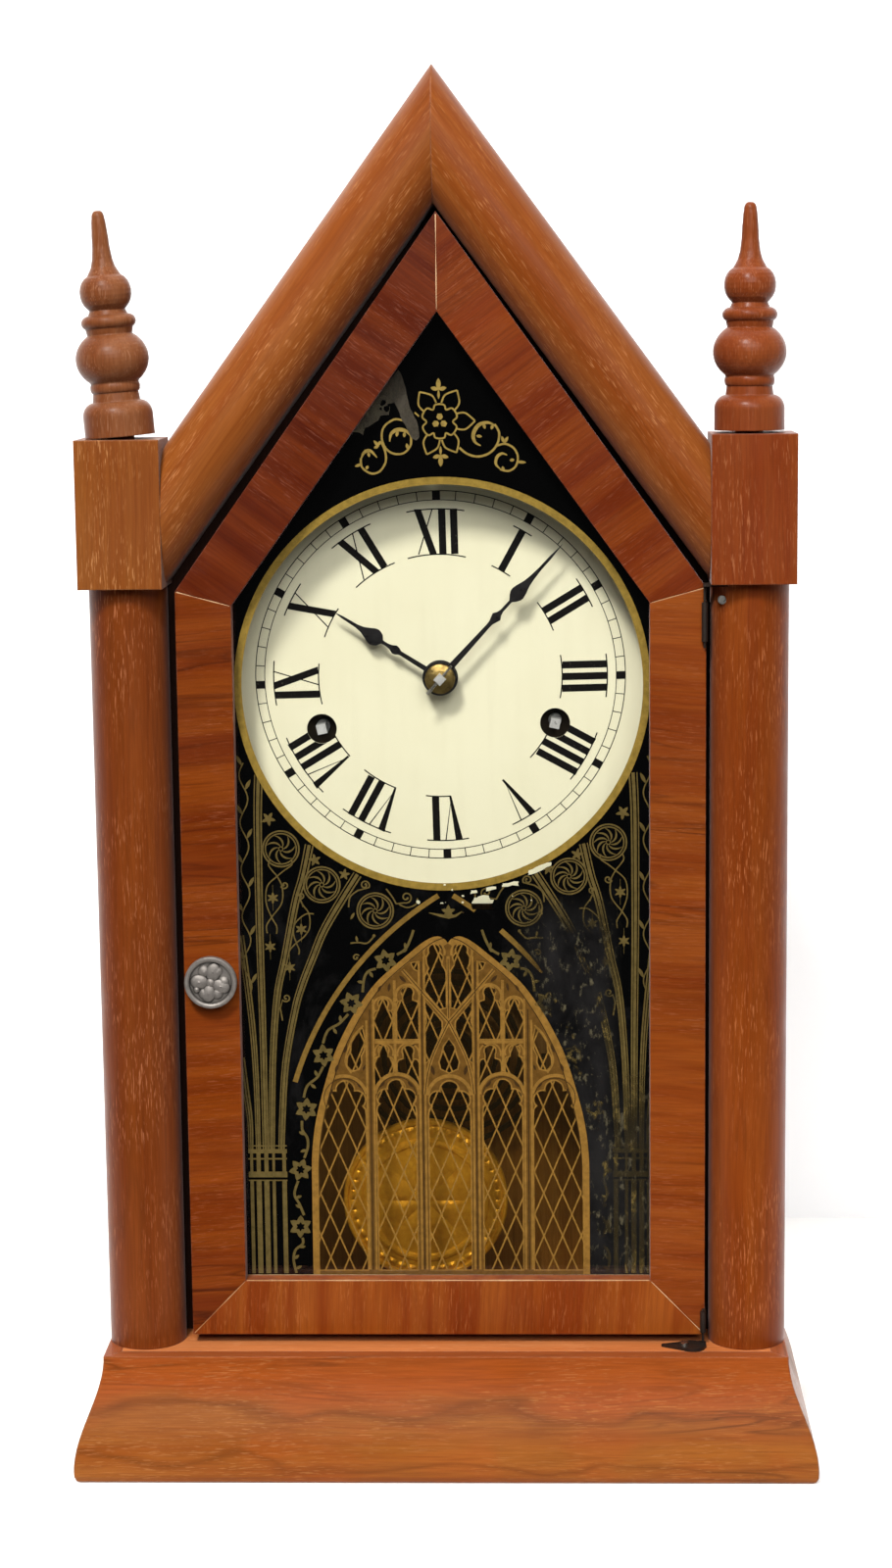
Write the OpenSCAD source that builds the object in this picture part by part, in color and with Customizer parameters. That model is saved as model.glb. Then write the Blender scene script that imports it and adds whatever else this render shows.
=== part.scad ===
// Steeple clock: a pointed wooden case with a spring-driven time and strike movement.
// Millimetres. Z is up, X is right, the front faces -Y, and the origin is under the middle of the base.
// Plane positions called y are depths, and a point of the movement is [x, z].

/* [Case] */
// overall height to the tip of the gable
overall_height = 508; // [495:1:520]
// half the width of the base
base_half = 136; // [130:0.5:142]
// half the depth of the base, which is also the back of the case
depth_half = 54; // [50:1:58]
// height of the base
base_height = 45; // [40:1:50]
// how far the base moulding flares out below its top edge
base_flare = 10.5; // [8:0.5:13]
// angle of the gable from the vertical, in degrees
gable_angle = 36.3; // [34:0.1:38]
// slope width of the gable moulding
gable_moulding_width = 28.3; // [25:0.1:31]
// thickness of the side boards
side_board = 12; // [8:1:14]
// how far the side boards stand in from the edge of the base
base_step = 22; // [18:1:26]
// thickness of the roof boards
roof_board = 10; // [8:1:12]
// thickness of the back board
back_thick = 6; // [4:0.5:8]

/* [Columns and finials] */
// how far the column axes lie inside the outer faces of the side boards
column_inset = 2.6; // [1:0.2:4]
// radius of the columns
column_radius = 14.1; // [13:0.1:15]
// width of the blocks on the columns
block_width = 30; // [28:0.5:32]
// how far a block stands out beyond the outer face of the side board
block_overhang = 12.8; // [11:0.2:15]
// how far a block reaches below the end of the gable moulding
block_below = 1.4; // [0.5:0.1:3]
// how far a block reaches above the end of the gable moulding
block_above = 3.4; // [2:0.1:5]
// height of a finial
finial_height = 79; // [74:1:84]

/* [Door] */
// sideways offset of the door
door_x = 0.9; // [0:0.1:1.5]
// mean gap between the door and the blocks at its sides
door_side_gap = 2.1; // [1.8:0.1:3]
// gap between the door and the base
door_foot_gap = 3.7; // [2:0.1:5]
// gap between the door's point and the gable moulding
door_point_gap = 2.6; // [1.5:0.1:4]
// how far the door's shoulders lie below a line parallel to the gable
door_shoulder_drop = 3.5; // [0:0.1:5]
// width of the door's upright members
stile_width = 20; // [17:0.1:22]
// width of the door's bottom member
rail_width = 20.7; // [17:0.1:23]
// width of the door's sloping members
rake_width = 20.4; // [17:0.1:23]
// how far the opening's shoulders lie below a line parallel to the gable
sight_shoulder_drop = 1.6; // [0:0.1:3]
// thickness of the door
door_thick = 16; // [14:0.5:18]
// thickness of the glass
glass_thick = 2; // [1.5:0.1:3]

/* [Dial and movement] */
// height of the gable's tip above the middle of the dial
gable_above_dial = 217; // [214:0.5:220]
// thickness of the dial plate
dial_thick = 0.8; // [0.6:0.1:1.2]
// length of the minute hand from its axis
minute_length = 66.4; // [60:0.2:68]
// length of the hour hand from its axis
hour_length = 45.4; // [42:0.2:48]
// direction of the minute hand, clockwise from twelve, in degrees
minute_angle = 42.7; // [0:0.1:360]
// direction of the hour hand, clockwise from twelve, in degrees
hour_angle = 302.4; // [0:0.1:360]
// radius of the pendulum bob
bob_radius = 31; // [28:0.5:33]
// height of the middle of the bob above the base
bob_above_base = 46.6; // [44:0.2:50]

/* [Hidden] */

// depths of the main planes, front to back
case_front = -13;
block_depth = 28;
block_front = case_front - block_depth;
column_y = case_front - 9;
door_gap = 0.5;
door_back = case_front - door_gap;
door_front = door_back - door_thick;
glass_setback = 6.5;
glass_front = door_front + glass_setback;
glass_back = glass_front + glass_thick;
bead_thick = 4;
bead_back = glass_back + bead_thick;
frame_thick = 10;
frame_back = case_front + frame_thick;
case_back = depth_half - back_thick;
plate_thick = 1.6;
plate_gap = 25.4;
plate_front = 7;
plate_inner = plate_front + plate_thick;
back_plate_inner = plate_inner + plate_gap;
back_plate_outer = back_plate_inner + plate_thick;

// widths, from the middle
side_outer = base_half - base_step;
side_inner = side_outer - side_board;
column_x = side_outer - column_inset;
block_inner = side_outer + block_overhang - block_width;
door_half = block_inner - door_side_gap;
sight_half = door_half - stile_width;

// rake of the gable: run in x for each millimetre of fall
rake = tan(gable_angle);
roof_thick = roof_board / sin(gable_angle);
moulding_drop = gable_moulding_width / sin(gable_angle);
moulding_apex = overall_height - moulding_drop;
roof_apex = overall_height - roof_thick;
frame_width = 32;
frame_apex = roof_apex - frame_width / sin(gable_angle);

// heights that follow the gable and the base
column_top = moulding_apex - block_inner / rake - block_below;
block_top = overall_height - block_inner / rake + block_above;
door_bottom = base_height + door_foot_gap;
door_apex = moulding_apex - door_point_gap;
door_shoulder = door_apex - door_half / rake - door_shoulder_drop;
sight_bottom = door_bottom + rail_width;
sight_apex = door_apex - rake_width / sin(gable_angle);
sight_shoulder = sight_apex - sight_half / rake - sight_shoulder_drop;
dial_z = overall_height - gable_above_dial;
bob_z = base_height + bob_above_base;

// tooth sizes of the trains: pitch diameter for each tooth
great_module = 0.8;
second_module = 0.65;
third_module = 0.4;
fly_module = 0.5;
motion_module = 0.45;

// teeth of the wheels, and pins or leaves of what they drive
great_teeth = 60;
great_pins = 10;
second_teeth = 36;
centre_leaves = 18;
centre_teeth = 80;
third_pins = 8;
fly_teeth = 64;
fly_pins = 8;
cannon_leaves = 10;
minute_teeth = 30;
minute_leaves = 8;
hour_teeth = 32;

// distances between the arbors of each pair
great_reach = (great_teeth + great_pins) / 2 * great_module;
second_reach = (second_teeth + centre_leaves) / 2 * second_module;
third_reach = (centre_teeth + third_pins) / 2 * third_module;
fly_reach = (fly_teeth + fly_pins) / 2 * fly_module;
motion_reach = (cannon_leaves + minute_teeth) / 2 * motion_module;

// positions in the movement
time_arbor_x = 41.8;
time_arbor_drop = 17.6;
strike_arbor_x = -44;
strike_arbor_drop = 19.2;
verge_x = -8;
verge_rise = 56;
escape_x = -2.5;
escape_rise = 34.9;
centre = [0, dial_z];
time_arbor = [time_arbor_x, dial_z - time_arbor_drop];
strike_arbor = [strike_arbor_x, dial_z - strike_arbor_drop];
verge_axis = [verge_x, dial_z + verge_rise];
escape_axis = [escape_x, dial_z + escape_rise];

// a wheel's arbor lies where the circles of two meshes cross
function crossing(p, q, reach_p, reach_q, side) =
    let (span = norm(q - p),
         along = (reach_p * reach_p - reach_q * reach_q + span * span) / (2 * span),
         off = sqrt(reach_p * reach_p - along * along),
         u = (q - p) / span)
    p + along * u + side * off * [-u[1], u[0]];

function polar(p, reach, turn) = p + reach * [cos(turn), sin(turn)];

function heading(p, q) = atan2(q[1] - p[1], q[0] - p[0]);

time_second = crossing(time_arbor, centre, great_reach, second_reach, -1);
third_axis = crossing(centre, escape_axis, third_reach, third_reach, -1);
strike_second = polar(strike_arbor, great_reach, 60);
fly_axis = polar(strike_second, fly_reach, 95);
motion_axis = polar(centre, motion_reach, 37);

// small shared shapes

// an outline in x and z, made solid from depth y0 to depth y1
module slab(y0, y1) {
    translate([0, y1, 0]) rotate([90, 0, 0]) linear_extrude(height = y1 - y0) children();
}

// a rod along the depth at point p
module rod(p, y0, y1, r) {
    translate([p[0], y0, p[1]]) rotate([-90, 0, 0]) cylinder(h = y1 - y0, r = r, $fn = 48);
}

// a box given by its two corners
module block(low, high) {
    translate(low) cube([high[0] - low[0], high[1] - low[1], high[2] - low[2]]);
}

// mirror image across the middle of the case
module other_side() {
    mirror([1, 0, 0]) children();
}

// base

// moulding outline, top edge to foot: x is how far it stands out, y is the height
moulding_thick = 6;
toe = 4.5;
ogee_height = base_height - toe;
ogee_steps = 20;
ogee = concat(
    [[-moulding_thick, base_height]],
    [for (i = [0:ogee_steps])
        [base_flare * (0.5 - 0.5 * cos(180 * i / ogee_steps)), base_height - i * ogee_height / ogee_steps]],
    [[base_flare - 0.1, 0.6 * toe], [base_flare - 0.8, 0.2 * toe], [base_flare - 2, 0],
     [-moulding_thick, 0]]);
base_inner = base_half - base_flare - moulding_thick;

module ogee_bar(length) {
    rotate([90, 0, 90]) translate([0, 0, -length / 2]) linear_extrude(height = length) polygon(ogee);
}

// the front moulding's mitred wedge, and the wedges of the side mouldings
module front_wedge() {
    corner = base_half + 2;
    deep = depth_half + 2;
    reach = base_flare + moulding_thick + 20;
    linear_extrude(height = base_height + 1) polygon([
        [-corner, -deep], [corner, -deep],
        [corner - reach, -deep + reach], [-corner + reach, -deep + reach]]);
}

module base_moulding_front() {
    color("#8a4a24") intersection() {
        translate([0, -depth_half + base_flare, 0]) mirror([0, 1, 0]) ogee_bar(2 * base_half + 10);
        front_wedge();
    }
}

module base_moulding_right() {
    color("#8a4a24") difference() {
        intersection() {
            translate([base_half - base_flare, 0, 0]) rotate([0, 0, -90]) ogee_bar(4 * depth_half);
            block([0, -depth_half, 0], [base_half + 1, depth_half, base_height]);
        }
        front_wedge();
    }
}

module base_moulding_left() {
    other_side() base_moulding_right();
}

base_board_thick = 14;
module base_board() {
    front = -depth_half + base_flare + moulding_thick;
    color("#8a4a24") block([-base_inner, front, base_height - base_board_thick],
        [base_inner, case_back, base_height]);
}

// case

module case_side_right() {
    color("#8a4a24") slab(case_front, case_back) polygon([
        [side_inner, base_height], [side_outer, base_height],
        [side_outer, roof_apex - side_outer / rake], [side_inner, roof_apex - side_inner / rake]]);
}

module case_side_left() {
    other_side() case_side_right();
}

module roof_board_right() {
    color("#8a4a24") slab(case_front, case_back) polygon([
        [0, roof_apex], [side_outer, roof_apex - side_outer / rake],
        [side_outer, overall_height - side_outer / rake], [0, overall_height]]);
}

module roof_board_left() {
    other_side() roof_board_right();
}

module back_board() {
    color("#a07a50") slab(case_back, depth_half) polygon([
        [-base_inner, 0], [base_inner, 0], [base_inner, base_height], [side_outer, base_height],
        [side_outer, overall_height - side_outer / rake], [0, overall_height],
        [-side_outer, overall_height - side_outer / rake], [-side_outer, base_height],
        [-base_inner, base_height]]);
}

// the upright and sloping strip inside the case front, which the door closes against
module front_frame_right() {
    stile = 12;
    color("#6a3a20") slab(case_front, frame_back) polygon([
        [side_inner - stile, base_height], [side_inner, base_height],
        [side_inner, roof_apex - side_inner / rake], [0, roof_apex], [0, frame_apex],
        [side_inner - stile, frame_apex - (side_inner - stile) / rake]]);
}

module front_frame_left() {
    other_side() front_frame_right();
}

// half-round moulding laid along the slope of the gable
module gable_moulding_right() {
    radius = gable_moulding_width / 2;
    run = block_inner / sin(gable_angle) + 2 * gable_moulding_width;
    whole = run + 2 * gable_moulding_width;
    color("#8a4a24") intersection() {
        translate([0, 0, moulding_apex + moulding_drop / 2]) rotate([0, -gable_angle, 0])
            translate([0, 0, -run]) union() {
                translate([0, block_front + radius, 0]) cylinder(h = whole, r = radius, $fn = 96);
                block([-radius, block_front + radius, 0], [radius, case_front, whole]);
            }
        block([0, block_front - 1, column_top - 1], [block_inner, case_front, overall_height + 1]);
    }
}

module gable_moulding_left() {
    other_side() gable_moulding_right();
}

module column_shaft() {
    color("#9a5428") intersection() {
        translate([column_x, column_y, base_height])
            cylinder(h = column_top - base_height, r = column_radius, $fn = 96);
        block([column_x - column_radius - 1, column_y - column_radius - 1, base_height],
            [column_x + column_radius + 1, case_front, column_top]);
    }
}

module column_right() {
    difference() {
        column_shaft();
        strip_leg();
        nail_upper();
    }
}

module column_left() {
    other_side() column_shaft();
}

module column_block_right() {
    color("#9a5428") difference() {
        block([block_inner, block_front, column_top], [block_inner + block_width, case_front, block_top]);
        spigot(finial_right_x, 0);
    }
}

module column_block_left() {
    color("#9a5428") difference() {
        other_side() block([block_inner, block_front, column_top],
            [block_inner + block_width, case_front, block_top]);
        spigot(finial_left_x, -finial_lean);
    }
}

// turned finials
finial_right_x = column_x - 0.6;
finial_left_x = -column_x - 0.8;
finial_lean = 4.3;
finial_y = block_front + 15;
finial_lift = 0.9;
spigot_radius = 5;
spigot_depth = 12;

// a round swelling in a turned outline: [height, radius] points on an arc about (middle, hub)
function swell(middle, hub, tall, out, from, to, steps = 8) = [
    for (i = [0:steps]) let (a = from + (to - from) * i / steps)
        [middle + tall * sin(a), hub + out * cos(a)]];

finial_profile = concat(
    [[0, 12.4]], swell(7.4, 8, 5, 4.4, 0, 84),
    swell(17.3, 7.9, 1.9, 0.95, -80, 50), swell(27.3, 0, 10.8, 12.95, -48, 52, 14),
    swell(40.2, 6.7, 2.6, 3, -55, 84), [[44.4, 6.3]],
    swell(50.5, 4.5, 6.3, 4.65, -58, 72),
    [[57.8, 5.2], [59.5, 4.3], [62.2, 3.6], [66.2, 3.1], [70.3, 2.9], [75.2, 2.5]],
    swell(76.4, 0.6, 2.6, 1.7, 0, 75, 5));

module finial_body(x, lean) {
    stretch = finial_height / 79;
    color("#9a5428") translate([x, finial_y, block_top + finial_lift]) rotate([0, lean, 0])
        rotate_extrude($fn = 96) polygon(concat([[0, 0]],
            [for (p = finial_profile) [p[1], p[0] * stretch]], [[0, finial_height]]));
}

module spigot(x, lean) {
    color("#3a1c10") translate([x, finial_y, block_top + finial_lift]) rotate([0, lean, 0])
        translate([0, 0, -spigot_depth]) cylinder(h = spigot_depth + 2, r = spigot_radius, $fn = 48);
}

module finial_right() {
    union() {
        finial_body(finial_right_x, 0);
        spigot(finial_right_x, 0);
    }
}

module finial_left() {
    union() {
        finial_body(finial_left_x, -finial_lean);
        spigot(finial_left_x, -finial_lean);
    }
}

// strips behind the dial and rails behind the movement
strip_width = 14;
strip_thick = 8.2;
module case_battens() {
    dial_back = frame_back + dial_thick;
    rail_inner = plate_half + 2 - strip_width;
    color("#c09a68") difference() {
        for (side = [0, 1]) mirror([side, 0, 0]) {
            block([side_inner - strip_width, dial_back, dial_z - dial_below + 1],
                [side_inner, dial_back + strip_thick, dial_z + 39]);
            block([rail_inner, back_plate_outer, dial_z - plate_below - 8],
                [plate_half + 2, case_back, dial_z + plate_above + 14]);
        }
        movement_screws();
    }
}

// dial

dial_below = 85;
winding_hole = 5.5;
module dial_plate() {
    half = side_inner - 5;
    peak = roof_apex - 21;
    top = peak - 20;
    foot = dial_z - dial_below;
    color("#e8dfc4") difference() {
        slab(frame_back, frame_back + dial_thick) polygon([
            [-half, foot], [half, foot], [half, peak - half / rake],
            [(peak - top) * rake, top], [-(peak - top) * rake, top], [-half, peak - half / rake]]);
        rod(centre, frame_back - 1, frame_back + 3, 4);
        rod(time_arbor, frame_back - 1, frame_back + 3, winding_hole);
        rod(strike_arbor, frame_back - 1, frame_back + 3, winding_hole);
    }
}

// door: a five-sided frame, mitred at each corner

function outline(half, bottom, shoulder, apex) = [
    [door_x - half, bottom], [door_x + half, bottom], [door_x + half, shoulder],
    [door_x, apex], [door_x - half, shoulder]];

door_outer = outline(door_half, door_bottom, door_shoulder, door_apex);

// the glass opening, moved outward by step all round
sight_angle = atan(sight_half / (sight_apex - sight_shoulder));
function sight(step) = outline(
    sight_half + step, sight_bottom - step,
    sight_apex + step / sin(sight_angle) - (sight_half + step) / tan(sight_angle),
    sight_apex + step / sin(sight_angle));

rebate = 5.5;

module member(i) {
    j = (i + 1) % 5;
    inner = sight(0);
    cut = sight(rebate);
    color("#a0581f") difference() {
        slab(door_front, door_back) polygon([door_outer[i], door_outer[j], inner[j], inner[i]]);
        slab(glass_front, door_back + 1) polygon(cut);
        hinge_recess();
        knob_bore();
    }
}

module door_rail_bottom() {
    member(0);
}

module door_stile_right() {
    member(1);
}

module door_rake_right() {
    member(2);
}

module door_rake_left() {
    member(3);
}

module door_stile_left() {
    member(4);
}

module door_glass() {
    color("#40403c") slab(glass_front, glass_back) polygon(sight(rebate - 0.5));
}

module glazing_strips() {
    wide = sight(rebate);
    narrow = sight(0.5);
    short = 0.002;
    color("#c0b090") for (i = [0:4])
        let (j = (i + 1) % 5)
        slab(glass_back, bead_back) polygon([
            wide[i] + short * (wide[j] - wide[i]), wide[j] + short * (wide[i] - wide[j]),
            narrow[j] + short * (narrow[i] - narrow[j]), narrow[i] + short * (narrow[j] - narrow[i])]);
}

// the knob turns a spindle with a hook that swings behind the case's left strip
knob_below_dial = 107.7;
knob = [door_x - door_half + stile_width / 2, dial_z - knob_below_dial];
knob_radius = 9.5;
knob_neck = 2.2;
knob_thick = 1.8;
petals = 6;
spindle_radius = 2;
spindle_play = 0.05;

module knob_bore() {
    rod(knob, door_front - 1, door_back + 1, spindle_radius + spindle_play);
}

// a low round swelling of radius r on a face at height 0, rooted in the face by sunk
module dome(r, rise, sunk = 0.5) {
    curve = (r * r + rise * rise) / (2 * rise);
    intersection() {
        translate([0, 0, rise - curve]) sphere(r = curve, $fn = 48);
        translate([0, 0, -sunk]) cylinder(h = rise + 2 * sunk, r = r, $fn = 48);
    }
}

// the button: a cast disc with a raised rim, and a flower of round petals about a boss
module knob_button() {
    rim = 0.8;
    translate([knob[0], door_front - knob_neck - knob_thick, knob[1]]) rotate([90, 0, 0]) {
        rotate_extrude($fn = 64) polygon([
            [0, -knob_thick], [knob_radius - 1, -knob_thick], [knob_radius, 0.4 - knob_thick],
            [knob_radius, rim], [knob_radius - 0.4, rim + 0.4], [knob_radius - 1, rim + 0.4],
            [knob_radius - 1.6, rim], [knob_radius - 2, 0], [0, 0]]);
        dome(1.9, 1.1);
        for (i = [0:petals - 1]) rotate([0, 0, i * 360 / petals])
            translate([knob_radius / 2, 0, 0]) dome(2.2, 0.9);
    }
}

module door_knob() {
    hook_reach = 11;
    hook_half = 3;
    hook_front = frame_back + 0.2;
    color("#8d8a84") union() {
        rod(knob, door_front - knob_neck - 0.5, door_front, 5);
        knob_button();
        rod(knob, door_front - 0.1, hook_front + 0.1, spindle_radius);
        slab(hook_front, hook_front + 1.4) polygon([
            [knob[0] - hook_half, knob[1] - hook_half], [knob[0] + hook_half, knob[1] - hook_half],
            [knob[0] + hook_half, knob[1] + hook_reach], [knob[0] - hook_half, knob[1] + hook_reach]]);
    }
}

// hinges: two pins in front of the right-hand corner of the door
door_edge = door_x + door_half;
hinge = [door_edge - 0.6, door_front - 1.3];
pin_radius = 0.5;
pin_play = 0.05;
knuckle_radius = 1.1;
upper_knuckle = [door_shoulder - 19.2, door_shoulder - 5.2];
lower_knuckle = [door_bottom + 1.3, door_bottom + 9.3];
pin_past = 2.2;
strap_thick = 1.2;

module upright(z0, z1, r) {
    translate([hinge[0], hinge[1], z0]) cylinder(h = z1 - z0, r = r, $fn = 32);
}

module hinge_recess() {
    upright(upper_knuckle[0] - 3, door_shoulder + 5, knuckle_radius + 0.4);
    upright(door_bottom - 1, lower_knuckle[1] + 2, knuckle_radius + 0.4);
}

module knuckle(z0, z1) {
    difference() {
        union() {
            upright(z0, z1, knuckle_radius);
            block([door_edge, hinge[1], z0], [door_edge + 0.5, hinge[1] + 12, z1]);
        }
        upright(z0 - 1, z1 + 1, pin_radius + pin_play);
    }
}

module hinge_knuckles() {
    color("#3a3632") {
        knuckle(upper_knuckle[0], upper_knuckle[1]);
        knuckle(lower_knuckle[0], lower_knuckle[1]);
    }
}

module strip_leg() {
    block([hinge[0] - 0.6, hinge[1] - 2.6, column_top - strap_thick],
        [column_x - 5, hinge[1] + 0.8, column_top]);
}

module hinge_upper_strip() {
    color("#2b2826") union() {
        strip_leg();
        upright(upper_knuckle[0] - pin_past, column_top - strap_thick / 2, pin_radius);
    }
}

module hinge_lower_plate() {
    color("#4a4238") difference() {
        union() {
            translate([hinge[0], hinge[1], base_height]) linear_extrude(height = strap_thick) {
                translate([-4, -2.6]) circle(r = 4.8, $fn = 48);
                polygon([[-15.4, -1.8], [-5, -7.3], [1, -3.2], [1, 1.2], [-4, 2.1]]);
            }
            upright(base_height + strap_thick / 2, lower_knuckle[1] + 1, pin_radius);
        }
        nail_lower();
    }
}

nail_head = 1.5;
nail_shank = 0.7;

module nail_upper() {
    across = 10.4;
    seat = sqrt(column_radius * column_radius - across * across);
    translate([column_x - across, column_y - seat, column_top - 6]) rotate([90, 0, 0]) {
        translate([0, 0, -0.3]) cylinder(h = 1.6, r = nail_head, $fn = 32);
        translate([0, 0, -7.5]) cylinder(h = 8, r = nail_shank, $fn = 32);
    }
}

module nail_lower() {
    translate([hinge[0] - 7, hinge[1] - 2.6, base_height]) {
        cylinder(h = strap_thick + 1, r = nail_shank, $fn = 32);
        translate([0, 0, strap_thick]) cylinder(h = 1, r = nail_head, $fn = 32);
    }
}

module hinge_nails() {
    color("#b8b4a8") {
        nail_upper();
        nail_lower();
    }
}

// hands

pipe_radius = 1.5;
hour_pipe_radius = 2.3;
hand_thick = 0.6;
hour_stand = 5.5;
minute_stand = 8.2;
hour_front = frame_back - hour_stand;
minute_front = frame_back - minute_stand;
washer_radius = 5.5;
washer_rim = 0.4;
washer_rise = 0.9;
washer_front = minute_front - washer_rim - washer_rise;

// outline of a hand pointing up, from its hub: distance along it and half width, for each point
minute_hub = 6.2;
minute_shape = [
    [0, 1.3], [26, 0.75], [27.6, 0.85], [29, 1.35], [30.6, 1.9], [32, 1], [33.5, 0.6], [38.2, 0.55],
    [39.5, 1.7], [41, 2.55], [42.2, 2.7], [44, 2.3], [47, 1.35], [50, 0.9], [54, 0.6], [60, 0.5]];
hour_hub = 6.5;
hour_shape = [
    [0, 1], [17.2, 0.75], [18.5, 1.45], [19.6, 1.7], [21.4, 0.85], [23, 0.6], [24.9, 0.65],
    [26, 2.25], [27.4, 3], [28.5, 3.15], [29.6, 2.9], [31.2, 2.1], [33.5, 1.1], [36, 0.65], [42, 0.45]];

module hand(shape, hub, length, angle, y0, y1) {
    slab(y0, y1) translate(centre) {
        circle(r = hub, $fn = 72);
        rotate([0, 0, -angle]) polygon(concat(
            [for (p = shape) [p[1], p[0]]], [[0, length]],
            [for (i = [len(shape) - 1:-1:0]) [-shape[i][1], shape[i][0]]]));
    }
}

module minute_hand() {
    color("#16130f") difference() {
        hand(minute_shape, minute_hub, minute_length, minute_angle, minute_front, minute_front + hand_thick);
        rod(centre, minute_front - 1, minute_front + 1, pipe_radius);
    }
}

module hour_hand() {
    color("#16130f") difference() {
        hand(hour_shape, hour_hub, hour_length, hour_angle, hour_front, hour_front + hand_thick);
        rod(centre, hour_front - 1, hour_front + 1, hour_pipe_radius);
    }
}

module hand_washer() {
    color("#a8863c") difference() {
        union() {
            rod(centre, minute_front - washer_rim, minute_front, washer_radius);
            translate([centre[0], minute_front - washer_rim, centre[1]]) rotate([90, 0, 0])
                dome(washer_radius - 0.3, washer_rise, washer_rim / 2);
        }
        rod(centre, washer_front - 1, minute_front + 1, arbor_radius + bearing);
    }
}

module pin_shape() {
    translate([centre[0], washer_front - 1, centre[1]]) rotate([0, 41, 0]) translate([0, 0, -7])
        cylinder(h = 13.6, r1 = 0.7, r2 = 0.4, $fn = 24);
}

module taper_pin() {
    color("#8d8a84") pin_shape();
}

// movement

arbor_radius = 0.9;
pivot_radius = 0.5;
bearing = 0.05;
end_shake = 0.2;
wheel_thick = 1.2;

// depths at which the wheels turn
hour_wheel_y = 3.4;
minute_wheel_y = 5;
great_y = plate_inner + 1.6;
escape_y = plate_inner + 2.4;
third_y = plate_inner + 11.4;
centre_y = plate_inner + 19.4;
second_y = plate_inner + 23.4;

// teeth are thin straight-sided ones, so there is play between them and the pins they drive
function tooth_ring(n, m, start) = [
    for (i = [0:n - 1])
        let (turn = start + (i + 0.5) * 360 / n,
             root = n * m / 2 - 1.1 * m,
             tip = n * m / 2 + 0.85 * m,
             wide = 0.85 * m / root * 57.2958,
             narrow = 0.3 * m / tip * 57.2958)
        each [polar([0, 0], root, turn - wide), polar([0, 0], tip, turn - narrow),
              polar([0, 0], tip, turn + narrow), polar([0, 0], root, turn + wide)]];

// a wheel at point p with a gap between teeth facing the angle start, and spokes inside its rim
module wheel(p, n, m, y0, y1, start, hub, spokes) {
    rim = n * m / 2 - 2.6 * m - 0.6;
    slab(y0, y1) translate(p) difference() {
        polygon(tooth_ring(n, m, start));
        if (spokes > 0) difference() {
            circle(r = rim, $fn = 96);
            circle(r = hub, $fn = 48);
            for (i = [0:spokes - 1]) rotate([0, 0, i * 360 / spokes])
                translate([0, -m - 0.3]) square([rim + 1, 2 * m + 0.6]);
        }
    }
}

// a lantern pinion: pins between two round ends, one pin facing the angle start
module lantern(p, n, m, y0, y1, start) {
    shroud = 0.6;
    reach = n * m / 2;
    for (y = [y0, y1 - shroud]) rod(p, y, y + shroud, reach + m);
    for (i = [0:n - 1]) rod(polar(p, reach, start + i * 360 / n), y0 + 0.3, y1 - 0.3, 0.6 * m);
}

// an arbor between the plates with its two pivots
module arbor(p) {
    rod(p, plate_inner + end_shake, back_plate_inner - end_shake, arbor_radius);
    rod(p, plate_front, back_plate_outer, pivot_radius);
}

module hole(p, y0, y1, r) {
    rod(p, y0 - 1, y1 + 1, r + bearing);
}

plate_half = 72;
plate_below = 51;
plate_above = 61;
hammer_axis = [10 - plate_half, dial_z + 9];
pillar_points = [for (side = [-1, 1], corner = [[plate_half - 11, 9 - plate_below],
    [plate_half - 14, plate_above - 6]]) [side * corner[0], dial_z + corner[1]]];
screw_points = [for (side = [-1, 1], rise = [18 - plate_below, plate_above - 14])
    [side * (plate_half - 5), dial_z + rise]];
pillar_radius = 2.5;
winding_radius = 2.4;
winding_pivot = 1.5;
cock_rise = 2.2;
cock_height = 6.8;

module front_plate() {
    color("#c09a48") difference() {
        union() {
            slab(plate_front, plate_inner) translate(centre) polygon([
                [7 - plate_half, 5 - plate_below], [plate_half - 7, 5 - plate_below],
                [plate_half - 7, plate_above - 12], [plate_half - 18, plate_above],
                [18 - plate_half, plate_above], [7 - plate_half, plate_above - 12]]);
            block([verge_axis[0] - 5, rod_y - 2.2, verge_axis[1] + cock_rise],
                [verge_axis[0] + 5, plate_front + 0.2, verge_axis[1] + cock_rise + cock_height]);
            rod(motion_axis, hour_wheel_y, plate_front + 0.2, pivot_radius);
        }
        for (p = [time_second, third_axis, escape_axis, strike_second, fly_axis, hammer_axis])
            hole(p, plate_front, plate_inner, pivot_radius);
        hole(verge_axis, plate_front, plate_inner, arbor_radius);
        hole(centre, plate_front, plate_inner, arbor_radius);
        for (p = [time_arbor, strike_arbor]) hole(p, plate_front, plate_inner, winding_radius);
        for (p = pillar_points) rod(p, plate_front - 1, plate_inner + 1, 1.2);
        block([verge_axis[0] - 0.4, rod_y - 3, verge_axis[1] + cock_rise - 1],
            [verge_axis[0] + 0.4, rod_y + 2.4, verge_axis[1] + cock_rise + cock_height + 1]);
    }
}

module back_plate() {
    color("#c09a48") difference() {
        union() {
            slab(back_plate_inner, back_plate_outer)
                translate([-plate_half, dial_z - plate_below])
                square([2 * plate_half, plate_below + plate_above]);
            for (p = pillar_points) {
                rod(p, plate_inner, back_plate_inner + 0.2, pillar_radius);
                rod(p, plate_front - 1.2, plate_inner + 0.2, 1.2);
            }
        }
        for (p = [time_second, centre, third_axis, escape_axis, verge_axis, strike_second, fly_axis,
                hammer_axis])
            hole(p, back_plate_inner, back_plate_outer, pivot_radius);
        for (p = [time_arbor, strike_arbor])
            hole(p, back_plate_inner, back_plate_outer, winding_pivot);
        movement_screws();
    }
}

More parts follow.
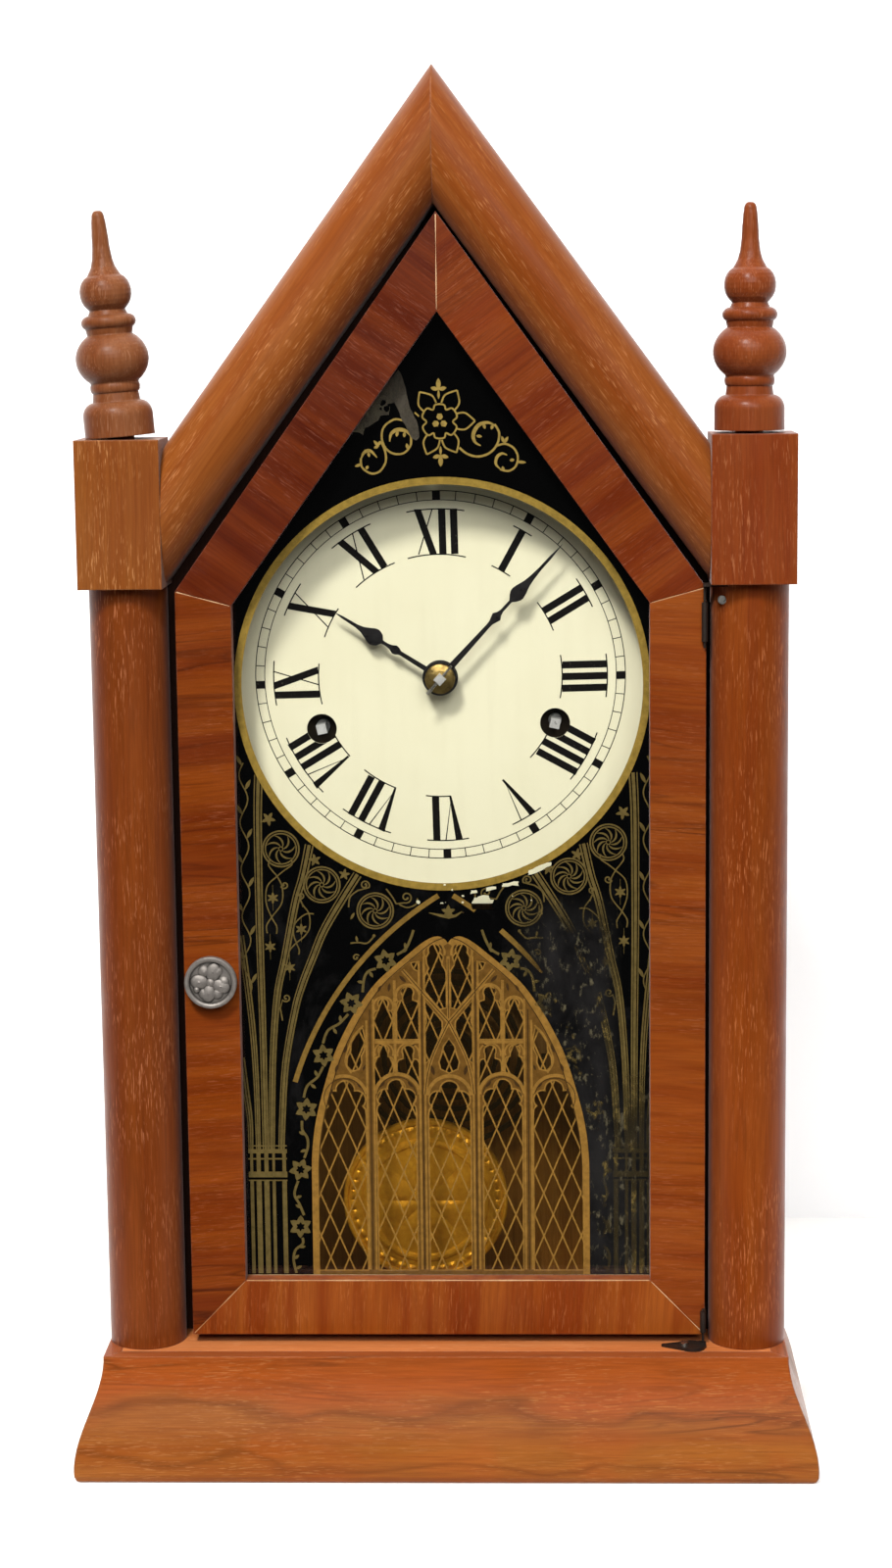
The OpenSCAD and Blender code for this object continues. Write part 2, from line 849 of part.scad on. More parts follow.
module movement_screws() {
    color("#8d8a84") for (p = screw_points) {
        difference() {
            rod(p, back_plate_inner - 1.6, back_plate_inner, 3);
            block([p[0] - 4, back_plate_inner - 3, p[1] - 0.35],
                [p[0] + 4, back_plate_inner - 0.8, p[1] + 0.35]);
        }
        rod(p, back_plate_inner - 0.2, case_back - 2, 1.4);
    }
}

// a let-down mainspring: a flat spiral whose outer end reaches a pillar
spring_turns = 6;
spring_steps = 30;
spring_front = great_y + 4;
spring_width = 17;
spring_eye = 6;
spring_reach = 21.5;
module flat_coil(turns, steps, r0, r1, thick) {
    polygon(concat(
        [for (i = [0:turns * steps]) let (t = i / steps)
            polar([0, 0], r0 + (r1 - r0) * t / turns, 360 * t)],
        [for (i = [turns * steps:-1:0]) let (t = i / steps)
            polar([0, 0], r0 + thick + (r1 - r0) * t / turns, 360 * t)]));
}

module mainsprings() {
    color("#5a6068") {
        slab(spring_front, spring_front + spring_width) translate(time_arbor) rotate([0, 0, -60])
            flat_coil(spring_turns, spring_steps, spring_eye, spring_reach, 0.5);
        slab(spring_front, spring_front + spring_width) translate(strike_arbor) mirror([1, 0])
            rotate([0, 0, -60]) flat_coil(spring_turns, spring_steps, spring_eye, spring_reach, 0.5);
    }
}

// great wheel with its click, free to be wound past on its arbor
great_thick = 1.6;
module great_wheel(p, q, mirrored) {
    side = mirrored ? -1 : 1;
    click_y = great_y + great_thick;
    difference() {
        union() {
            wheel(p, great_teeth, great_module, great_y, great_y + great_thick, heading(p, q), 11, 5);
            slab(click_y - 0.2, click_y + 1.4) translate(p) scale([side, 1]) polygon([
                [8.6, 2.2], [9.8, 6.4], [8.2, 9.2], [5.4, 9.4], [5.6, 7.4], [7.4, 6.4], [8, 4.4]]);
        }
        rod(p, great_y - 1, click_y + 1.2, winding_radius + bearing);
    }
}

// winding arbor with its square end, collar and ratchet
key_half = 1.8;
module winding_arbor(p, mirrored) {
    side = mirrored ? -1 : 1;
    ratchet_y = great_y + great_thick + 0.2;
    union() {
        translate([p[0], 0, p[1]]) rotate([0, 12 * side, 0])
            block([-key_half, frame_back - 1.6, -key_half], [key_half, plate_front - 1.8, key_half]);
        rod(p, plate_front - 2, back_plate_inner - end_shake, winding_radius);
        rod(p, back_plate_inner - 1, back_plate_outer, winding_pivot);
        rod(p, great_y - 1.2, great_y - 0.2, 4.2);
        slab(ratchet_y, ratchet_y + 1.4) translate(p) scale([side, 1]) polygon([
            for (i = [0:11]) each [polar([0, 0], 4.9, i * 30), polar([0, 0], 6.6, i * 30 + 3),
                polar([0, 0], 6.5, i * 30 + 8)]]);
    }
}

module time_great_wheel() {
    color("#c09a48") great_wheel(time_arbor, time_second, false);
}

module time_winding_arbor() {
    color("#8d8a84") winding_arbor(time_arbor, false);
}

module time_second_wheel() {
    color("#c09a48") union() {
        arbor(time_second);
        lantern(time_second, great_pins, great_module, great_y - 1.3, great_y + 2.9,
            heading(time_second, time_arbor));
        wheel(time_second, second_teeth, second_module, second_y, second_y + wheel_thick,
            heading(time_second, centre), 3, 5);
    }
}

module centre_wheel() {
    color("#c09a48") difference() {
        union() {
            rod(centre, washer_front - 2.1, back_plate_inner - end_shake, arbor_radius);
            rod(centre, back_plate_inner - 1, back_plate_outer, pivot_radius);
            slab(second_y - 0.4, second_y + 1.6) translate(centre) polygon(tooth_ring(
                centre_leaves, second_module, heading(centre, time_second) - 180 / centre_leaves));
            wheel(centre, centre_teeth, third_module, centre_y, centre_y + wheel_thick,
                heading(centre, third_axis), 3, 4);
        }
        pin_shape();
    }
}

module third_wheel() {
    color("#c09a48") union() {
        arbor(third_axis);
        lantern(third_axis, third_pins, third_module, centre_y - 1.6, centre_y + 3,
            heading(third_axis, centre));
        wheel(third_axis, centre_teeth, third_module, third_y, third_y + wheel_thick,
            heading(third_axis, escape_axis), 3, 4);
    }
}

escape_teeth = 36;
escape_root = 12.3;
escape_tip = 14;
module escape_wheel() {
    color("#c09a48") union() {
        arbor(escape_axis);
        lantern(escape_axis, third_pins, third_module, third_y - 1.6, third_y + 3,
            heading(escape_axis, third_axis));
        slab(escape_y, escape_y + wheel_thick) translate(escape_axis) difference() {
            polygon([for (i = [0:escape_teeth - 1]) let (turn = i * 360 / escape_teeth) each [
                polar([0, 0], escape_root, turn), polar([0, 0], escape_tip, turn + 1.2),
                polar([0, 0], escape_tip, turn + 2.2), polar([0, 0], escape_root, turn + 6)]]);
            difference() {
                circle(r = escape_root - 1.5, $fn = 96);
                circle(r = 3, $fn = 48);
                for (turn = [0:90:359]) rotate([0, 0, turn]) translate([0, -0.7])
                    square([escape_root - 0.3, 1.4]);
            }
        }
    }
}

// recoil anchor above the escape wheel, and the crutch that holds the pendulum rod
pallet_gap = 1.7;
pallet_thick = 1.5;
crutch_length = 29;
crutch_y = plate_front - 2.1;
rod_y = 0.8;
rod_radius = 0.8;
rod_play = 0.05;
rod_foot = base_height + 6;
module verge_and_crutch() {
    up = heading(escape_axis, verge_axis);
    inside = escape_tip + pallet_gap;
    crutch_z = verge_axis[1] - crutch_length;
    prong = 0.5;
    color("#6a6e74") union() {
        rod(verge_axis, crutch_y - 0.7, back_plate_inner - end_shake, arbor_radius);
        rod(verge_axis, back_plate_inner - 1, back_plate_outer, pivot_radius);
        slab(escape_y - 0.2, escape_y + wheel_thick + 0.2) {
            translate(verge_axis) circle(r = 2, $fn = 32);
            translate(escape_axis) difference() {
                union() {
                    circle(r = inside + pallet_thick, $fn = 96);
                    rotate([0, 0, up]) translate([0, -1]) square([norm(verge_axis - escape_axis) - 0.8, 2]);
                }
                circle(r = inside, $fn = 96);
                rotate([0, 0, up]) polygon([[0, 0], [20, 26], [-30, 26], [-30, -26], [20, -26]]);
            }
        }
        rod(verge_axis, crutch_y - 0.5, crutch_y + 0.5, 1.8);
        translate([verge_axis[0], crutch_y, crutch_z]) cylinder(h = crutch_length - 1, r = prong, $fn = 24);
        block([verge_axis[0] - 2, crutch_y - 0.5, crutch_z - 0.6],
            [verge_axis[0] + 2, crutch_y + 0.5, crutch_z + 0.6]);
        for (side = [-1, 1])
            rod([verge_axis[0] + side * (rod_radius + rod_play + prong), crutch_z],
                rod_y - 1.2, crutch_y + 0.1, prong);
    }
}

module cannon_pinion() {
    color("#c09a48") difference() {
        union() {
            rod(centre, minute_front, minute_wheel_y + 1, pipe_radius);
            slab(minute_wheel_y, minute_wheel_y + 1) translate(centre) polygon(tooth_ring(
                cannon_leaves, motion_module, heading(centre, motion_axis) - 180 / cannon_leaves));
        }
        rod(centre, minute_front - 1, minute_wheel_y + 2, arbor_radius + bearing);
    }
}

module minute_wheel() {
    color("#c09a48") difference() {
        union() {
            wheel(motion_axis, minute_teeth, motion_module, minute_wheel_y, minute_wheel_y + 1,
                heading(motion_axis, centre), 2.6, 0);
            slab(hour_wheel_y, minute_wheel_y + 0.2) translate(motion_axis) polygon(tooth_ring(
                minute_leaves, motion_module, heading(motion_axis, centre) - 180 / minute_leaves));
        }
        rod(motion_axis, hour_wheel_y - 0.4, minute_wheel_y + 2, pivot_radius + bearing);
    }
}

module hour_wheel() {
    color("#c09a48") difference() {
        union() {
            wheel(centre, hour_teeth, motion_module, hour_wheel_y, hour_wheel_y + 1,
                heading(centre, motion_axis), 3.2, 0);
            rod(centre, hour_front, hour_wheel_y + 0.6, hour_pipe_radius);
        }
        rod(centre, hour_front - 1, hour_wheel_y + 2, pipe_radius + bearing);
    }
}

// pendulum: the top of its rod is flattened into the suspension spring
bob_back = 2.6;
bob_front = 1.6;
spring_half = 1.8;
spring_drop = 9;
spring_rise = 3.2;
rod_drop = 7;
module pendulum_rod() {
    color("#9a8a5c") union() {
        block([verge_axis[0] - 0.1, rod_y - spring_half, verge_axis[1] - spring_drop],
            [verge_axis[0] + 0.1, rod_y + spring_half, verge_axis[1] + cock_rise + spring_rise]);
        translate([verge_axis[0], rod_y, rod_foot])
            cylinder(h = verge_axis[1] - rod_drop - rod_foot, r = rod_radius, $fn = 32);
        translate([verge_axis[0], rod_y, bob_z - bob_radius - 3.4]) cylinder(h = 3, r = 4, $fn = 48);
    }
}

// a pressed face with a bead at its edge and a second one further in, on a flat lead back
module pendulum_bob() {
    color("#b08c3a") difference() {
        translate([verge_axis[0], 0, bob_z]) rotate([90, 0, 0]) rotate_extrude($fn = 128) polygon([
            [0, -bob_back], [bob_radius - 0.6, -bob_back], [bob_radius, 0.6 - bob_back],
            [bob_radius, bob_front - 0.6], [bob_radius - 0.5, bob_front], [bob_radius - 1.5, bob_front],
            [bob_radius - 2, bob_front - 0.7], [0.78 * bob_radius, bob_front - 0.3],
            [0.76 * bob_radius, bob_front + 0.4], [0.73 * bob_radius, bob_front + 0.6],
            [0.70 * bob_radius, bob_front + 0.4], [0.68 * bob_radius, bob_front - 0.2],
            [0.4 * bob_radius, bob_front + 0.3], [0, bob_front + 0.6]]);
        block([verge_axis[0] - rod_radius - 0.1, rod_y - rod_radius - 0.1, bob_z - bob_radius - 9],
            [verge_axis[0] + rod_radius + 0.1, bob_back + 1.4, bob_z + bob_radius + 9]);
    }
}

module strike_great_wheel() {
    color("#c09a48") great_wheel(strike_arbor, strike_second, true);
}

module strike_winding_arbor() {
    color("#8d8a84") winding_arbor(strike_arbor, true);
}

module strike_second_wheel() {
    color("#c09a48") union() {
        arbor(strike_second);
        lantern(strike_second, great_pins, great_module, great_y - 1.3, great_y + 2.9,
            heading(strike_second, strike_arbor));
        wheel(strike_second, fly_teeth, fly_module, second_y, second_y + wheel_thick,
            heading(strike_second, fly_axis), 3, 5);
    }
}

vane_half = 11.5;
module strike_fly() {
    color("#c09a48") union() {
        arbor(fly_axis);
        lantern(fly_axis, fly_pins, fly_module, second_y - 0.8, second_y + 1.8,
            heading(fly_axis, strike_second));
        slab(plate_inner + 5.4, plate_inner + 17.4) translate(fly_axis) rotate([0, 0, 20])
            translate([-vane_half, -0.4]) square([2 * vane_half, 0.8]);
    }
}

// strike hammer: its wire hangs at the left of the movement and ends beside the gong
module hammer_wire(p, q) {
    span = q - p;
    translate(p) rotate([0, acos(span[2] / norm(span)), atan2(span[1], span[0])])
        cylinder(h = norm(span), r = 0.8, $fn = 24);
}

gong_above_base = 93;
gong = [0, base_height + gong_above_base];
gong_y = case_back - 9;
gong_turns = 7;
gong_eye = 3.6;
gong_radius = 36;
gong_wire = 1.8;
gong_rod_radius = 4;
hammer_rise = 8;
hammer_drop = 4;
hammer_bend_above_gong = 16;
hammer_beside_plate = 5;
hammer_radius = 4.5;
hammer_long = 13;
hammer_gap = 5.5;
hammer_y = back_plate_inner - 3;
module strike_hammer() {
    start = [hammer_axis[0], hammer_y, hammer_axis[1]];
    bend = [-plate_half - hammer_beside_plate, hammer_y, hammer_axis[1] - hammer_drop];
    low = [bend[0], hammer_y, gong[1] + gong_radius + hammer_bend_above_gong];
    head = [gong[0] - gong_radius - hammer_gap - hammer_long / 2, gong_y, gong[1] + hammer_rise];
    color("#8a7a50") union() {
        arbor(hammer_axis);
        rod(hammer_axis, hammer_y - 1.2, hammer_y + 1.2, 2);
        hammer_wire(start, bend);
        translate(bend) sphere(r = 1.2, $fn = 24);
        hammer_wire(bend, low);
        translate(low) sphere(r = 1.2, $fn = 24);
        hammer_wire(low, head);
        translate([head[0] - hammer_long / 2, gong_y, head[2]]) rotate([0, 90, 0])
            cylinder(h = hammer_long, r = hammer_radius, $fn = 48);
    }
}

module gong_base() {
    color("#2b2826") union() {
        rod(gong, case_back - 4.4, case_back, 9);
        rod(gong, gong_y - 1, case_back - 4, gong_rod_radius);
    }
}

module gong_coil() {
    color("#3c4048") difference() {
        slab(gong_y - gong_wire / 2, gong_y + gong_wire / 2) translate(gong)
            flat_coil(gong_turns, 36, gong_eye, gong_radius, gong_wire);
        rod(gong, gong_y - 3, gong_y + 3, gong_rod_radius);
    }
}

base_moulding_front();
base_moulding_left();
base_moulding_right();
base_board();
case_side_left();
case_side_right();
roof_board_left();
roof_board_right();
back_board();
front_frame_left();
front_frame_right();
gable_moulding_left();
gable_moulding_right();
column_left();
column_right();
column_block_left();
column_block_right();
finial_left();
finial_right();
case_battens();
dial_plate();
door_stile_left();
door_stile_right();
door_rail_bottom();
door_rake_left();
door_rake_right();
door_glass();
glazing_strips();
door_knob();
hinge_knuckles();
hinge_upper_strip();
hinge_lower_plate();
hinge_nails();
minute_hand();
hour_hand();
hand_washer();
taper_pin();
front_plate();
back_plate();
movement_screws();
mainsprings();
time_great_wheel();
time_winding_arbor();
time_second_wheel();
centre_wheel();
third_wheel();
escape_wheel();
verge_and_crutch();
cannon_pinion();
minute_wheel();
hour_wheel();
pendulum_rod();
pendulum_bob();
strike_great_wheel();
strike_winding_arbor();
strike_second_wheel();
strike_fly();
strike_hammer();
gong_base();
gong_coil();
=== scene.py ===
"""Looks of a pointed mantel clock: wood, painted glass, printed dial, metal, floor, light and camera."""
import math
import random

import bpy
from mathutils import Matrix, Vector
from mathutils.geometry import delaunay_2d_cdt


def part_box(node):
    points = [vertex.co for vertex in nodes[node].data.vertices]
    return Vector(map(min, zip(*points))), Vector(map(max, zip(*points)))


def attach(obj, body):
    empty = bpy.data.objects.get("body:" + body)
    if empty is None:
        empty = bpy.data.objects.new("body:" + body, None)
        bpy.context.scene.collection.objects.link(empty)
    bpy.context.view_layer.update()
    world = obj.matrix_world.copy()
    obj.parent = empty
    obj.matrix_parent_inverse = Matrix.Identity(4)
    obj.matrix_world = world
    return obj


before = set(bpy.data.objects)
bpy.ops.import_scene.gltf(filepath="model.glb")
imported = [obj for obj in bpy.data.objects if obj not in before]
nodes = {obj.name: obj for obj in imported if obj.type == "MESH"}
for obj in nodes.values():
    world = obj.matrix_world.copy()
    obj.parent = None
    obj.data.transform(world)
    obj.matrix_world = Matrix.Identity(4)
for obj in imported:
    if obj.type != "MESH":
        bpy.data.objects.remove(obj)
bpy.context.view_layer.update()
MM = 0.001


def box_mm(node):
    """Lowest and highest corner of a CAD node, in millimetres."""
    low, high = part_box(node)
    return [v / MM for v in low], [v / MM for v in high]


# ---------- small node helpers

class Shader:
    """Builds one node material: nodes are added by type, and inputs are numbers, colours or sockets."""

    def __init__(self, name):
        self.material = bpy.data.materials.new(name)
        self.material.use_nodes = True
        self.tree = self.material.node_tree
        self.tree.nodes.clear()
        self.out = self.tree.nodes.new("ShaderNodeOutputMaterial")

    def add(self, kind, settings=None, **inputs):
        node = self.tree.nodes.new("ShaderNode" + kind)
        for key, value in (settings or {}).items():
            setattr(node, key, value)
        for key, value in inputs.items():
            numbered = key[0] == "i" and key[1:].isdigit()
            self.put(node.inputs[int(key[1:]) if numbered else key.replace("_", " ")], value)
        return node

    def put(self, socket, value):
        if isinstance(value, bpy.types.NodeSocket):
            self.tree.links.new(value, socket)
        elif isinstance(value, tuple) and len(value) == 3 and socket.type == "RGBA":
            socket.default_value = value + (1,)
        else:
            socket.default_value = value

    def math(self, operation, a, b=0.0):
        return self.add("Math", {"operation": operation}, i0=a, i1=b).outputs[0]

    def times(self, a, b):
        return self.math("MULTIPLY", a, b)

    def plus(self, a, b):
        return self.math("ADD", a, b)

    def ramp(self, value, stops):
        node = self.add("ValToRGB", i0=value)
        ramp = node.color_ramp
        while len(ramp.elements) < len(stops):
            ramp.elements.new(0.5)
        for element, (place, colour) in zip(ramp.elements, stops):
            element.position = place
            element.color = colour + (1,) if isinstance(colour, tuple) else (colour, colour, colour, 1)
        return node.outputs[0]

    def mix(self, amount, a, b, blend="MIX"):
        node = self.add("Mix", {"data_type": "RGBA", "blend_type": blend})
        self.put(node.inputs[0], amount)
        self.put(node.inputs[6], a)
        self.put(node.inputs[7], b)
        return node.outputs[2]

    def noise(self, vector, scale, detail=4.0, rough=0.55, distort=0.0, move=(0, 0, 0)):
        """Noise over vector, whose axes are first multiplied by scale, one number or three."""
        scale = scale if isinstance(scale, tuple) else (scale,) * 3
        node = self.add("TexNoise", Vector=self.mapped(vector, scale=scale, move=move), Scale=1.0,
                        Detail=detail, Roughness=rough, Distortion=distort)
        return node.outputs[0]

    def place(self):
        return self.add("TexCoord").outputs["Object"]

    def mapped(self, vector, turn=(0, 0, 0), scale=(1, 1, 1), move=(0, 0, 0)):
        node = self.add("Mapping", {"vector_type": "POINT"}, Vector=vector, Rotation=turn, Scale=scale,
                        Location=move)
        return node.outputs[0]

    def finish(self, shader):
        self.tree.links.new(shader.outputs[0], self.out.inputs["Surface"])
        return self.material

    def surface(self, **inputs):
        """Ends the material as one principled surface."""
        return self.finish(self.add("BsdfPrincipled", **inputs))

    def blend(self, amount, first, second):
        """Ends the material as a mix of two shader nodes."""
        return self.finish(self.add("MixShader", i0=amount, i1=first.outputs[0], i2=second.outputs[0]))


def srgb(r, g, b):
    """A colour written as 0-255 screen values, made linear."""
    return tuple(((c / 255 + 0.055) / 1.055) ** 2.4 if c > 10 else c / 255 / 12.92 for c in (r, g, b))


def altered(colour, by, plus=0.0):
    """A colour times by, plus the same amount in each channel, held at 1."""
    return tuple(min(1, c * by + plus) for c in colour)


def new_piece(name, points, faces, material):
    """A mesh object; points are in millimetres."""
    mesh = bpy.data.meshes.new(name)
    mesh.from_pydata([tuple(c * MM for c in p) for p in points], [], faces)
    mesh.materials.append(material)
    piece = bpy.data.objects.new(name, mesh)
    bpy.context.scene.collection.objects.link(piece)
    return piece


# ---------- wood

def wood(name, base, dark, pale, along, veins=0.0, pores=0.5, slant=0.0, gloss=0.38, seed=0, wear=0.35,
         cloud=0.6, upper=None):
    """Shellacked wood in screen colours. along is the grain's direction, and slant leans its pores.

    veins, pores, wear and cloud are amounts. upper is a height in metres and a colour: above a wavy line at
    that height the colour turns to that colour, and two darker wavy bands run at fixed heights below it.
    """
    base, dark, pale = srgb(*base), srgb(*dark), srgb(*pale)
    s = Shader(name)
    p = s.place()
    # turn the grain to local Z
    aim = Vector(along).normalized().rotation_difference(Vector((0, 0, 1))).to_euler()
    local = s.mapped(p, turn=tuple(aim), move=(seed * 0.37, seed * 0.21, seed * 0.53))
    slow = s.noise(local, (14, 14, 3), 3, 0.5, 0.6)
    warp = s.add("VectorMath", {"operation": "MULTIPLY_ADD"})
    s.put(warp.inputs[0], s.add("TexNoise", Vector=s.mapped(local, scale=(20, 20, 9)), Scale=1.0,
                                Detail=2.0).outputs[1])
    warp.inputs[1].default_value = (0.006, 0.006, 0.006)
    s.put(warp.inputs[2], local)
    local2 = warp.outputs[0]
    band = s.noise(local2, (130, 130, 6), 3, 0.6)
    fibre = s.noise(local2, (1500, 1500, 45), 3, 0.6)
    fleck_space = s.mapped(local2, turn=(0, math.radians(slant), 0), scale=(2300, 2300, 190))
    fleck = s.noise(fleck_space, 1.0, 2, 0.5)
    thin = s.noise(local2, (60, 60, 25), 2, 0.5)
    colour = s.mix(s.ramp(slow, [(0.34, 0), (0.66, 1)]), base, dark)
    colour = s.mix(s.times(s.ramp(band, [(0.42, 0), (0.62, 1)]), 0.35 * cloud), colour, pale)
    colour = s.mix(s.times(s.ramp(band, [(0.3, 1), (0.46, 0)]), 0.5 * cloud), colour, dark)
    if upper:
        bend, upper_colour = upper[0], srgb(*upper[1])
        stir = s.noise(p, (15, 15, 40), 2, 0.45, 0.4, move=(seed, 0, 0))
        level = s.plus(s.add("SeparateXYZ", Vector=p).outputs[2],
                       s.times(s.math("SUBTRACT", stir, 0.5), 0.03))
        above = s.add("MapRange", Value=level, From_Min=bend - 0.003, From_Max=bend + 0.004).outputs[0]
        colour = s.mix(s.times(above, 0.8), colour, upper_colour)
        patch = s.noise(p, (30, 30, 60), 2, 0.5, 0.3, move=(0, 0, seed))
        colour = s.mix(s.ramp(patch, [(0.5, 0), (0.66, 0.3)]), colour, upper_colour)
        for height, deepness in ((bend * 0.36, 0.4), (bend * 0.93, 0.42)):
            off = s.math("ABSOLUTE", s.math("SUBTRACT", level, height))
            near = s.add("MapRange", Value=off, From_Min=0.0, From_Max=0.0020, To_Min=1.0,
                         To_Max=0.0).outputs[0]
            colour = s.mix(s.times(near, deepness), colour, altered(dark, 0.4))
    if veins:
        line = s.noise(local2, (85, 85, 5), 2, 0.5, 1.2)
        vein = s.ramp(line, [(0.47, 0), (0.5, 1), (0.53, 0)])
        where = s.ramp(s.noise(local, (12, 12, 8), 2), [(0.45, 0), (0.62, 1)])
        colour = s.mix(s.times(s.times(vein, where), veins), colour, altered(dark, 0.32))
    colour = s.mix(s.times(s.ramp(fibre, [(0.35, 1), (0.6, 0)]), 0.28), colour,
                   altered(dark, 0.45))
    speck = s.times(s.ramp(fleck, [(0.58, 0), (0.68, 1)]), s.ramp(thin, [(0.36, 0), (0.6, 1)]))
    colour = s.mix(s.times(speck, pores), colour, altered(pale, 1.25, 0.03))
    # rounded, paler edges
    bevel = s.add("Bevel", {"samples": 4}, Radius=0.0007)
    plain = s.add("NewGeometry")
    dot = s.add("VectorMath", {"operation": "DOT_PRODUCT"})
    s.put(dot.inputs[0], bevel.outputs[0])
    s.put(dot.inputs[1], plain.outputs["Normal"])
    edge = s.ramp(dot.outputs["Value"], [(0.80, 1), (0.985, 0)])
    rub = s.ramp(s.noise(p, 220, 4, 0.7), [(0.42, 0), (0.62, 1)])
    colour = s.mix(s.times(s.times(edge, rub), wear), colour,
                   altered(pale, 1.2, 0.12))
    shine = s.ramp(s.noise(p, 40, 3), [(0.3, gloss - 0.06), (0.7, gloss + 0.1)])
    shine = s.plus(shine, s.times(speck, 0.2))
    height = s.plus(s.times(fibre, 0.4), s.times(speck, -0.7))
    bump = s.add("Bump", Strength=0.16, Distance=0.0004, Height=height, Normal=bevel.outputs[0])
    return s.surface(Base_Color=colour, Roughness=shine, Normal=bump.outputs[0], Specular_IOR_Level=0.11,
                     Sheen_Weight=0.12, Sheen_Roughness=0.35)


def metal(name, base, dark, rough, scale=400, amount=0.5, metallic=1.0):
    """Metal with tarnish and fine marks."""
    s = Shader(name)
    p = s.place()
    tarnish = s.noise(p, scale * 0.3, 4, 0.65)
    fine = s.noise(p, scale, 3, 0.6)
    colour = s.mix(s.times(s.ramp(tarnish, [(0.4, 0), (0.65, 1)]), amount), base, dark)
    shine = s.ramp(fine, [(0.3, max(rough - 0.08, 0.05)), (0.7, min(rough + 0.12, 1))])
    bump = s.add("Bump", Strength=0.1, Distance=0.0002, Height=fine)
    return s.surface(Base_Color=colour, Roughness=shine, Metallic=metallic, Normal=bump.outputs[0])


slope = math.radians(36.3)
up_right = (math.sin(slope), 0, -math.cos(slope))
up_left = (-math.sin(slope), 0, -math.cos(slope))
across_right = (math.cos(slope), 0, math.sin(slope))
across_left = (math.cos(slope), 0, -math.sin(slope))

level, inward, upright = (1, 0, 0), (0, 1, 0), (0, 0, 1)

# piece, its three colours, the direction of its grain and its other amounts
woods = (
    ("base_moulding_front", (133, 73, 22), (115, 56, 14), (151, 99, 39), level,
     dict(pores=0.3, upper=(0.026, (142, 66, 20)), veins=0.75)),
    ("base_moulding_left", (135, 77, 33), (115, 60, 21), (154, 105, 57), inward,
     dict(pores=0.35, upper=(0.026, (138, 62, 20)), veins=0.5)),
    ("base_moulding_right", (135, 77, 33), (115, 60, 21), (154, 105, 57), inward,
     dict(pores=0.35, upper=(0.026, (138, 62, 20)), veins=0.5)),
    ("gable_moulding_left", (133, 71, 24), (114, 53, 15), (160, 103, 50), up_left, dict(pores=0.6)),
    ("gable_moulding_right", (132, 68, 22), (113, 52, 14), (161, 102, 48), up_right,
     dict(pores=0.45)),
    ("column_left", (112, 51, 14), (93, 38, 7), (139, 76, 30), upright,
     dict(pores=0.75, slant=7, veins=0.2)),
    ("column_right", (124, 56, 13), (104, 42, 7), (153, 83, 28), upright,
     dict(pores=0.6, slant=-4, veins=0.2)),
    ("column_block_left", (125, 67, 24), (113, 55, 17), (156, 102, 48), upright,
     dict(pores=0.9, slant=10)),
    ("column_block_right", (119, 51, 15), (106, 41, 10), (146, 81, 32), upright,
     dict(pores=0.55, slant=-6)),
    ("finial_left", (123, 72, 40), (105, 55, 27), (154, 110, 78), upright,
     dict(gloss=0.32, pores=0.3)),
    ("finial_right", (120, 56, 24), (100, 41, 15), (151, 89, 51), upright,
     dict(gloss=0.3, pores=0.3)),
    ("case_side_left", (123, 60, 20), (101, 44, 12), (153, 89, 42), upright,
     dict(pores=0.5, veins=0.4)),
    ("case_side_right", (123, 60, 20), (101, 44, 12), (153, 89, 42), upright,
     dict(pores=0.5, veins=0.4)),
    ("roof_board_left", (127, 66, 23), (109, 50, 15), (153, 96, 46), up_left,
     dict(pores=0.5, veins=0.3)),
    ("roof_board_right", (125, 65, 23), (107, 49, 15), (152, 94, 46), up_right,
     dict(pores=0.5, veins=0.3)),
    ("front_frame_left", (46, 22, 12), (26, 13, 8), (60, 30, 18), upright,
     dict(gloss=0.6, pores=0.1, wear=0.1)),
    ("front_frame_right", (46, 22, 12), (26, 13, 8), (60, 30, 18), upright,
     dict(gloss=0.6, pores=0.1, wear=0.1)),
    # base_board's colours are set much lighter than the other woods: painted light, for the top face in
    # front of the door that the lamps light from above
    ("base_board", (188, 106, 50), (164, 88, 40), (212, 148, 96), level, dict(pores=0.4)),
    ("back_board", (150, 118, 82), (116, 84, 54), (178, 148, 108), upright,
     dict(gloss=0.7, pores=0.15, veins=0.5, wear=0.2)),
    ("case_battens", (168, 132, 92), (132, 98, 64), (196, 164, 120), upright,
     dict(gloss=0.7, pores=0.1, veins=0.3, wear=0.2)),
    ("glazing_strips", (172, 140, 100), (140, 106, 70), (200, 170, 128), upright,
     dict(gloss=0.65, pores=0.1, wear=0.2)),
    ("door_stile_left", (115, 49, 7), (93, 34, 4), (140, 70, 16), (1, 0, 0.06),
     dict(cloud=1.0, pores=0.25, veins=0.75)),
    ("door_stile_right", (129, 60, 14), (106, 42, 8), (148, 80, 27), (1, 0, -0.05),
     dict(cloud=1.0, pores=0.2, veins=0.6)),
    ("door_rail_bottom", (137, 66, 15), (111, 44, 8), (163, 93, 33), (0.05, 0, 1),
     dict(cloud=1.0, pores=0.25, veins=0.25)),
    ("door_rake_left", (87, 30, 5), (68, 19, 3), (119, 53, 17), across_left,
     dict(cloud=1.0, pores=0.3, veins=0.35)),
    ("door_rake_right", (109, 42, 7), (87, 29, 4), (133, 66, 20), across_right,
     dict(cloud=1.0, pores=0.3, veins=0.3)),
)


def give(name, material):
    """Assigns a material to a CAD node."""
    slots = nodes[name].data.materials
    slots.clear()
    slots.append(material)


for seed, (name, base, dark, pale, along, rest) in enumerate(woods, 1):
    give(name, wood("wood_" + name, base, dark, pale, along, seed=seed, **rest))

